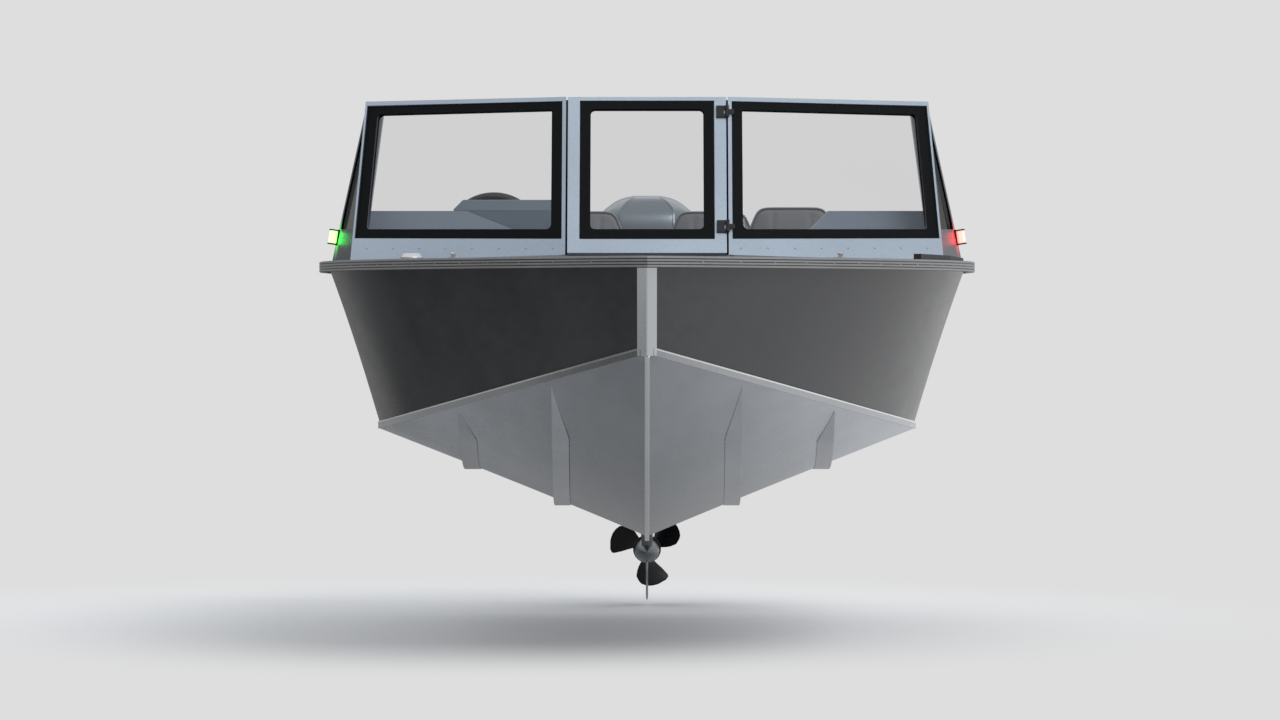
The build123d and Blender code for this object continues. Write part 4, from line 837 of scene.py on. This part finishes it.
# Side lights
# Red to port and green to starboard, in thin black caps. Lit: the lens itself looks white-hot, and its
# colour is painted as a glow on the wing beside it.
light_shift = 0.013
side_lights = [
    softened("side_light_caps", "nav_light_bases", 0.0008, black_plastic, joined=False)]
for name, slot_name, colour, hot in (
    ("nav_lens_port", "red_lens", (9.0, 0.1, 0.08), (1.0, 0.42, 0.3)),
    ("nav_lens_starboard", "green_lens", (0.3, 9.0, 0.6), (0.72, 1.0, 0.42)),
):
    lens, shader, place = finish(name + "_lit", (0.5, 0.5, 0.5), 0.2)
    lens_tree = lens.node_tree
    looked_at = Wire(lens_tree, lens_tree.nodes.new("ShaderNodeLightPath").outputs["Is Camera Ray"])
    feed(shader, Emission_Color=tinted(looked_at, colour, hot))
    shader.inputs["Emission Strength"].default_value = 1.15
    side_lights.append(softened(name + "_glass", name, 0.0015, lens, segments=3, joined=False))
for item in side_lights:
    for vert in item.data.vertices:
        vert.co.x += math.copysign(light_shift, vert.co.x)


# Seat cushions
# Padded backs and pans in stitched vinyl with a piped edge, two on pedestals and two on the stern box.
seat_vinyl, shader, place = finish("seat_vinyl", (0.12, 0.125, 0.135), 0.5)
leather = place.add("ShaderNodeTexVoronoi", Vector=place, Scale=420.0)
feed(shader, Base_Color=tinted(grain(place, 5.0, 3.0), (0.105, 0.11, 0.12), (0.135, 0.14, 0.15)))
feed(shader, Roughness=leather * 0.2 + 0.4, Normal=bumped(leather, 0.0006, 0.35))
piping_vinyl, shader, place = finish("seat_piping", (0.15, 0.155, 0.165), 0.45)
feed(shader, Roughness=grain(place, 200.0) * 0.2 + 0.35)


def evenly(points, count):
    """Points along a closed outline, evenly spaced."""
    loop = [Vector(p) for p in points]
    loop.append(loop[0])
    lengths = [0.0]
    for a, b in zip(loop, loop[1:]):
        lengths.append(lengths[-1] + (b - a).length)
    spread, number = [], 0
    for step in range(count):
        target = lengths[-1] * step / count
        while lengths[number + 1] < target:
            number += 1
        share = (target - lengths[number]) / (lengths[number + 1] - lengths[number])
        spread.append(loop[number].lerp(loop[number + 1], share))
    return spread


def rounded_off(points, passes=3):
    """A closed outline with its corners cut again and again until it is smooth."""
    for _ in range(passes):
        cut = []
        for a, b in zip(points, points[1:] + points[:1]):
            cut += [a.lerp(b, 0.25), a.lerp(b, 0.75)]
        points = cut
    return points


def swept(name, line, radius, material, body, sides=8):
    """A round bar bent round a closed line of points."""
    verts, faces = [], []
    count = len(line)
    lift = (line[1] - line[-1]).orthogonal()
    for number, spot in enumerate(line):
        ahead = (line[(number + 1) % count] - line[number - 1]).normalized()
        lift = (lift - ahead * lift.dot(ahead)).normalized()
        across = ahead.cross(lift)
        for side in range(sides):
            angle = 2 * math.pi * side / sides
            verts.append(spot + (lift * math.cos(angle) + across * math.sin(angle)) * radius)
    for row in range(count):
        for side in range(sides):
            a, b = row * sides + side, row * sides + (side + 1) % sides
            after = ((row + 1) % count) * sides
            faces.append((a, b, after + (side + 1) % sides, after + side))
    return piece(name, verts, faces, material, body)


pad_points = 120
back_height, back_thickness = 0.34, 0.080
pan_width, pan_thickness = 0.40, 0.09
pad_roll, pad_crown = 0.018, 0.012
channel_half, channel_depth = 0.006, 0.003
back_halves = [
    (back_height, 0.0), (back_height, 0.08), (0.337, 0.098), (0.328, 0.112), (0.312, 0.121), (0.28, 0.134),
    (0.245, 0.15), (0.21, 0.164), (0.165, 0.175), (0.12, 0.18), (0.06, 0.182), (0.022, 0.176), (0.005, 0.155),
    (0.0, 0.12), (0.0, 0.0),
]
right = [Vector((half, up, 0)) for up, half in back_halves]
left = [Vector((-p.x, p.y, 0)) for p in reversed(right[1:-1])]
back_outline = evenly(rounded_off(right + left), pad_points)


def rounded_box(half, front, back, radius, steps):
    """A level outline with rounded corners, each in a number of steps."""
    outline = []
    for x, y, start in (
        (half - radius, front + radius, -90), (half - radius, back - radius, 0),
        (radius - half, back - radius, 90), (radius - half, front + radius, 180),
    ):
        for step in range(steps + 1):
            angle = math.radians(start + 90 * step / steps)
            outline.append(Vector((x + radius * math.cos(angle), y + radius * math.sin(angle), 0)))
    return outline


def cushion(name, outline, thickness, channels, matrix, node, body):
    """A stuffed pad with a rolled edge, a crowned face with sewn channels across its width, and piping."""
    middle = sum(outline, Vector()) / len(outline)
    rings = [(share, 0.0) for share in (0.3, 0.6, 0.9)]
    for step in range(1, 7):
        angle = math.pi / 2 * step / 6
        rings.append((0.9 + 0.1 * math.sin(angle), pad_roll * (1 - math.cos(angle))))
    for step in range(1, 9):
        angle = math.pi / 2 * step / 8
        height = thickness - pad_crown - pad_roll * (1 - math.sin(angle))
        rings.append((1.0 - 0.12 * (1 - math.cos(angle)), height))
    rings += [(0.88 - 0.04 * step, thickness - pad_crown * (1 - 0.04 * step) ** 2) for step in range(1, 22)]
    verts = []
    for share, height in rings:
        for edge in outline:
            spot = middle + (edge - middle) * share
            seam = sum(math.exp(-((spot.x - channel) / channel_half) ** 2) for channel in channels)
            fade = max(0.0, min(1.0, (0.97 - share) / 0.08)) if height > thickness / 2 else 0.0
            verts.append(matrix @ Vector((spot.x, spot.y, height - channel_depth * seam * fade)))
    pad = piece(name, verts, banded(len(rings), len(outline)), seat_vinyl, body, sharp=60.0)
    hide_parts(node)
    edge = [middle + (q - middle) * 0.995 for q in outline]
    edge = [matrix @ Vector((p.x, p.y, thickness - pad_roll)) for p in edge]
    swept(name + "_piping", edge, 0.0032, piping_vinyl, body)


# name, place across, place along, top of the back, depth of the pan, body
seats = [
    ("passenger", 0.478, 1.005, 0.746, 0.38, "passenger_seat"),
    ("helm", -0.478, 1.005, 0.746, 0.38, "helm_seat"),
    ("port_aft", 0.221, 1.71, 0.736, 0.32, "hull"),
    ("starboard_aft", -0.221, 1.71, 0.736, 0.32, "hull"),
]
back_lean, pad_gap = 8, 0.006
for name, x, y, top, depth, body in seats:
    node = f"{name}_seat_pads" if body != "hull" else "aft_seat_pads"
    low, front = top - back_height, y + 0.125
    lean = Matrix.Translation((x, front, low)) @ Matrix.Rotation(math.radians(90 - back_lean), 4, "X")
    back = lean @ Matrix.Translation((0, 0, -0.085))
    cushion(name + "_back_pad", back_outline, back_thickness, (-0.062, 0.062), back, node, body)
    pan = Matrix.Translation((x, front - pad_gap - depth / 2, low + 0.022 - pan_thickness))
    pan_half, pan_reach = pan_width / 2, (depth - pad_gap) / 2
    pan_outline = evenly(rounded_box(pan_half, -pan_reach, pan_reach, 0.06, 9), pad_points)
    cushion(name + "_pan_pad", pan_outline, pan_thickness, (-0.07, 0.07), pan, node, body)


# Seat shells
# Moulded plastic behind each back and under each pan. The sides of each back are drawn in to follow
# its cushion.
shell_halves = [
    (0.0, 0.085), (0.004, 0.1), (0.012, 0.112), (0.028, 0.122), (0.06, 0.135), (0.13, 0.167), (0.22, 0.183),
    (0.34, 0.187),
]
shell_straight, shell_corner = 0.075, 0.118


def shell_half(drop):
    """Half the width of a seat back's shell at a drop below its top."""
    for (low, first), (high, second) in zip(shell_halves, shell_halves[1:]):
        if drop <= high:
            return first + (second - first) * (max(drop, low) - low) / (high - low)
    return shell_halves[-1][1]


shell_plastic, shader, place = finish("seat_shell_moulding", (0.13, 0.135, 0.15), 0.42)
feed(shader, Roughness=grain(place, 350.0, 2.0) * 0.2 + 0.32)
for node, carried, body in (
    ("passenger_seat_shell", seats[:1], "passenger_seat"), ("helm_seat_shell", seats[1:2], "helm_seat"),
    ("aft_seat_shells", seats[2:], "hull"),
):
    shell = softened(node + "_moulding", node, 0.0015, shell_plastic, body)
    for vert in shell.data.vertices:
        for _, x, y, top, _, _ in carried:
            shell_top = top - back_height + back_height * math.cos(math.radians(back_lean)) - 0.012
            drop = shell_top - vert.co.z
            if abs(vert.co.x - x) < 0.2 and vert.co.y > y + 0.15 and drop < 0.3:
                corner = max(0.0, shell_corner - max(drop, 0.0))
                was = shell_straight + math.sqrt(max(shell_corner ** 2 - corner ** 2, 0.0))
                vert.co.x = x + (vert.co.x - x) * min(1.0, shell_half(max(drop, 0.0)) / was)
                break


# Pedestals and deck fittings
# Satin stainless steel: the seats' posts and base plates, and the cleats, the cap and the stern eyes.
# The bow cleats are low ones.
polished = brushed("polished_steel", (0.5, 0.5, 0.5), (0.62, 0.62, 0.62), 0.34, 0.8, relief=0.02)
clad(polished, "seat_pedestals")
bow_cleat_end, bow_deck_top = -1.5, 0.584
fittings = softened("deck_fitting_set", "deck_fittings", 0.0008, polished, joined=False)
for vert in fittings.data.vertices:
    if vert.co.y < bow_cleat_end and vert.co.z > bow_deck_top:
        vert.co.z = bow_deck_top + (vert.co.z - bow_deck_top) * 0.4


# Steering wheel
# A moulded grip ring on three flat spokes, with a round cap over the hub.
wheel_centre = Vector((-0.489, 0.535, 0.647))
wheel_axis = Vector((0, math.cos(math.radians(25)), math.sin(math.radians(25))))
wheel_up = Vector((0, -wheel_axis.z, wheel_axis.y))
wheel_side = Vector((1, 0, 0))
ring_radius, ring_steps = 0.138, 72
ring = []
for step in range(ring_steps):
    angle = 2 * math.pi * step / ring_steps
    out = wheel_side * (ring_radius * math.cos(angle)) + wheel_up * (ring_radius * math.sin(angle))
    ring.append(wheel_centre + out)
grip_rubber, shader, place = finish("wheel_grip", (0.02, 0.02, 0.021), 0.6)
pebble = grain(place, 600.0, 2.0)
feed(shader, Roughness=pebble * 0.3 + 0.45, Normal=bumped(pebble, 0.0004, 0.4))
wheel_parts = [swept("wheel_ring", ring, 0.0138, grip_rubber, "helm_wheel", sides=20)]
# distance from the hub, half width, half thickness
spoke_rows = [(0.025, 0.021, 0.004), (0.06, 0.015, 0.003), (0.1, 0.013, 0.003), (0.13, 0.018, 0.004)]
for number, turn in enumerate((-30, 90, 210)):
    out = wheel_side * math.cos(math.radians(turn)) + wheel_up * math.sin(math.radians(turn))
    side = wheel_axis.cross(out)
    sections = []
    for reach, half, thick in spoke_rows:
        spot = wheel_centre + out * reach - wheel_axis * 0.003
        sections.append([spot + side * (half * a) + wheel_axis * (thick * b) for a, b in (
            (-1, 0), (-0.85, -0.9), (0.85, -0.9), (1, 0), (0.85, 0.9), (-0.85, 0.9))])
    wheel_parts.append(lofted(f"wheel_spoke_{number}", sections, grip_rubber, "helm_wheel"))
hub_profile = [
    (0.020, -0.022), (0.030, -0.020), (0.034, -0.012), (0.034, 0.0), (0.031, 0.006), (0.022, 0.009),
    (0.001, 0.010),
]
wheel_parts.append(turned("wheel_hub", hub_profile, wheel_centre, wheel_axis, grip_rubber, "helm_wheel"))
for item in wheel_parts:
    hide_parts("steering_wheel")


# Motor cowl
# A moulded cover in metallic paint, with a flat panel between two ridges down its front, facets beside
# them, a domed top and a black seam round it where it lifts off.
def between_rows(rows, steps):
    """Rows on smooth curves through the given ones."""
    full = []
    for number in range(len(rows) - 1):
        a, b = rows[max(0, number - 1)], rows[number]
        c, d = rows[number + 1], rows[min(len(rows) - 1, number + 2)]
        for step in range(steps):
            t = step / steps
            row = []
            for p, q, r, s in zip(a, b, c, d):
                bend = 2 * p - 5 * q + 4 * r - s + t * (3 * (q - r) + s - p)
                row.append(q + 0.5 * t * (r - p + t * bend))
            full.append(tuple(row))
    return full + [rows[-1]]


cowl_grey, shader, place = finish(
    "cowl_grey", (0.17, 0.195, 0.215), 0.22, 0.75, Coat_Weight=0.6, Coat_Roughness=0.05)
flake = grain(place, 900.0, 2.0)
feed(shader, Base_Color=tinted(flake, (0.13, 0.155, 0.172), (0.17, 0.195, 0.215)))
feed(shader, Roughness=grain(place, 3.0) * 0.1 + 0.2)
steer_y = 2.6
# height, half width, front, back, corner radius
cowl_rows = [
    (0.3453, 0.178, -0.048, 0.475, 0.06), (0.40, 0.184, -0.053, 0.485, 0.066),
    (0.468, 0.1885, -0.057, 0.491, 0.07), (0.56, 0.19, -0.056, 0.49, 0.074),
    (0.66, 0.186, -0.05, 0.48, 0.078), (0.72, 0.168, -0.038, 0.45, 0.078),
    (0.76, 0.126, -0.005, 0.395, 0.062), (0.78, 0.09, 0.028, 0.34, 0.045),
    (0.79, 0.05, 0.08, 0.27, 0.035),
]
sections = []
for z, half, front, back, radius in between_rows(cowl_rows, 6):
    panel = min(0.095, half * 0.62)
    facet = half - panel
    port = [
        (0.0, front), (panel * 0.4, front), (panel * 0.8, front + 0.001), (panel - 0.006, front + 0.002),
        (panel - 0.002, front - 0.002), (panel + 0.002, front - 0.001), (panel + 0.006, front + 0.006),
    ]
    for share, depth in ((0.3, 0.019), (0.6, 0.042), (0.8, 0.066), (0.93, 0.092), (1.0, 0.125)):
        port.append((panel + facet * share, front + depth))
    for step in range(9):
        angle = math.radians(90 * step / 8)
        port.append((half - radius + radius * math.cos(angle), back - radius + radius * math.sin(angle)))
    port.append((0.0, back))
    outline = [Vector((x, steer_y + y, z)) for x, y in port]
    sections.append(outline + [Vector((-p.x, p.y, p.z)) for p in reversed(outline[1:-1])])
cowl_skin = lofted("cowl_shell", sections, cowl_grey, "motor", sharp=40.0)
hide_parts("motor_cowl")
motor_black, shader, place = finish("motor_black", (0.02, 0.02, 0.022), 0.35, Coat_Weight=0.3)
feed(shader, Roughness=grain(place, 120.0) * 0.2 + 0.26, Normal=bumped(grain(place, 260.0, 2.0), 0.0004, 0.2))
seam_height = 0.456
seam_row = min(sections, key=lambda section: abs(section[0].z - seam_height))
swept("cowl_seam", seam_row, 0.0032, motor_black, "motor")


# Motor brackets
# Black castings: the clamp that is bolted over the transom, and the swivel that tilts on its bar. The
# engine under the cowl is black too.
softened("transom_clamp", "motor_clamp", 0.002, motor_black)
softened("swivel_casting", "motor_swivel", 0.002, motor_black, body="tilting_bracket")
clad(motor_black, "engine_block")


# Motor leg
# A cast and painted leg with an apron under the cowl, a flat plate over the propeller, a gearcase drawn
# to a point and a thin skeg. It steers on the king pin between two yokes.
def rounded_rows(rows):
    """Outlines with rounded corners. Each row: height, half width, front, back and corner radius, with
    the front and the back measured from the steering axis."""
    sections = []
    for z, half, front, back, radius in rows:
        radius = min(radius, half - 0.0005, (back - front) / 2 - 0.0005)
        outline = rounded_box(half, front, back, radius, 7)
        sections.append([Vector((p.x, steer_y + p.y, z)) for p in outline])
    return sections


leg_grey, shader, place = finish("leg_grey", (0.13, 0.15, 0.16), 0.3, 0.6)
feed(shader, Base_Color=tinted(grain(place, 5.0, 4.0), (0.11, 0.125, 0.135), (0.16, 0.18, 0.195)))
feed(shader, Roughness=grain(place, 60.0) * 0.15 + 0.22)
apron_rows = [
    (0.30, 0.15, -0.015, 0.44, 0.07), (0.32, 0.168, -0.022, 0.458, 0.07), (0.345, 0.176, -0.028, 0.47, 0.07)]
middle_rows = [
    (0.301, 0.062, 0.05, 0.33, 0.055), (0.12, 0.05, 0.05, 0.25, 0.045), (-0.305, 0.034, 0.065, 0.27, 0.03)]
plate_rows = [
    (-0.326, 0.091, 0.084, 0.506, 0.056), (-0.324, 0.095, 0.08, 0.51, 0.06),
    (-0.318, 0.095, 0.075, 0.515, 0.06), (-0.316, 0.092, 0.078, 0.512, 0.057)]
lower_rows = [
    (-0.30, 0.04, 0.065, 0.30, 0.032), (-0.33, 0.026, 0.09, 0.32, 0.024), (-0.46, 0.019, 0.13, 0.31, 0.018)]
leg_parts = [
    lofted(name, rounded_rows(rows), leg_grey, "motor") for name, rows in (
        ("leg_apron", apron_rows), ("leg_middle", between_rows(middle_rows, 6)),
        ("leg_plate", plate_rows), ("leg_lower", between_rows(lower_rows, 6)))]
gear_z, gear_radius = -0.475, 0.044
nose, tail = 2.700, 2.950
egg = []
for step in range(25):
    share = step / 24
    if share < 0.5:
        radius = gear_radius * math.sin(math.pi * share) ** 0.62
    else:
        radius = gear_radius * (1 - 0.16 * (2 * share - 1) ** 2)
    egg.append((max(radius, 0.0008), nose + (tail - nose) * share))
leg_parts.append(turned("gearcase", egg, (0, 0, gear_z), (0, 1, 0), leg_grey, "motor", steps=56))
# height, front behind the nose, back ahead of the tail, half thickness
skeg_rows = [
    (-0.497, 0.025, 0.015, 0.004), (-0.57, 0.058, 0.02, 0.004),
    (-0.629, 0.09, 0.024, 0.004), (-0.649, 0.12, 0.025, 0.0028),
]
skeg_profile = [(0, 0), (0.6, 0.12), (1, 0.35), (0.9, 0.75), (0, 1), (-0.9, 0.75), (-1, 0.35), (-0.6, 0.12)]
sections = []
for z, behind_nose, ahead_of_tail, thick in skeg_rows:
    front, back = nose + behind_nose, tail - ahead_of_tail
    sections.append([Vector((x * thick, front + (back - front) * share, z)) for x, share in skeg_profile])
leg_parts.append(lofted("skeg", sections, leg_grey, "motor", sharp=50.0))
for name, radius, length, foot, way in (
    ("propeller_shaft", 0.012, 0.096, (0, tail - 0.005, gear_z), (0, 1, 0)),
    ("king_pin", 0.015, 0.35, (0, steer_y, -0.05), (0, 0, 1)),
):
    leg_parts.append(turned(name, [(radius, 0.0), (radius, length)], foot, way, polished, "motor", steps=24))
for number, (low, high) in enumerate(((0.283, 0.302), (-0.058, -0.033))):
    sections = rounded_rows([(low, 0.03, -0.026, 0.1, 0.012), (high, 0.03, -0.026, 0.1, 0.012)])
    leg_parts.append(lofted(f"leg_yoke_{number}", sections, leg_grey, "motor"))
for item in leg_parts:
    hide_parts("motor_leg")


# Propeller
# Three broad black blades, each a helical sheet with a thick middle and thin edges, on a hollow hub.
propeller_black, shader, place = finish(
    "propeller_black", (0.005, 0.0052, 0.006), 0.3, Specular_IOR_Level=0.3)
feed(shader, Roughness=grain(place, 90.0) * 0.2 + 0.2)
# radius, leading edge and trailing edge in degrees, thickness
blade_rows = [
    (0.030, -20, 24, 0.0075), (0.050, -24, 29, 0.0062), (0.071, -25, 34, 0.0052), (0.086, -24, 36.7, 0.0045),
    (0.106, -21, 38, 0.0036), (0.120, -14, 38.5, 0.003), (0.128, -9, 37, 0.0025), (0.1325, -2, 31, 0.0021),
    (0.135, 5, 18, 0.0018),
]
lead = 0.047
blade_y = 3.0 - lead * 0.11
across = 14
propeller_parts = []
for blade in range(3):
    root = math.radians(270 + 120 * blade)
    verts, faces = [], []
    for radius, first, last, thick in blade_rows:
        for face_side in (1, -1):
            for step in range(across + 1):
                share = step / across
                angle = math.radians(first + (last - first) * share)
                turn, slope = root + angle, lead / radius
                lean = Vector((-math.sin(turn) * slope, -1.0, math.cos(turn) * slope)).normalized()
                half = thick * 0.5 * math.sin(math.pi * (0.04 + 0.92 * share)) ** 0.7
                out, up = radius * math.cos(turn), radius * math.sin(turn)
                spot = Vector((out, blade_y + lead * angle, gear_z + up))
                verts.append(spot + lean * (half * face_side))
    ring = 2 * (across + 1)
    for row in range(len(blade_rows) - 1):
        for step in range(across):
            a = row * ring + step
            faces.append((a, a + 1, a + ring + 1, a + ring))
            b = a + across + 1
            faces.append((b + 1, b, b + ring, b + ring + 1))
        for step in (0, across):
            a, b = row * ring + step, row * ring + across + 1 + step
            faces.append((a, b, b + ring, a + ring) if step else (b, a, a + ring, b + ring))
    for row, flip in ((0, False), (len(blade_rows) - 1, True)):
        for step in range(across):
            a = row * ring + step
            b = a + across + 1
            faces.append((a, b, b + 1, a + 1) if flip else (a, a + 1, b + 1, b))
    propeller_parts.append(piece(f"blade_{blade}", verts, faces, propeller_black, "propeller", sharp=50.0))
hub_profile = [
    (0.0135, 2.955), (0.046, 2.955), (0.050, 2.958), (0.0495, 2.964), (0.041, 2.972), (0.037, 2.985),
    (0.036, 3.02), (0.037, 3.052), (0.0385, 3.060), (0.035, 3.060), (0.031, 3.04), (0.030, 3.035),
    (0.0135, 3.035),
]
propeller_parts.append(
    turned("propeller_hub", hub_profile, (0, 0, gear_z), (0, 1, 0), propeller_black, "propeller"))
for item in propeller_parts:
    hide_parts("propeller")
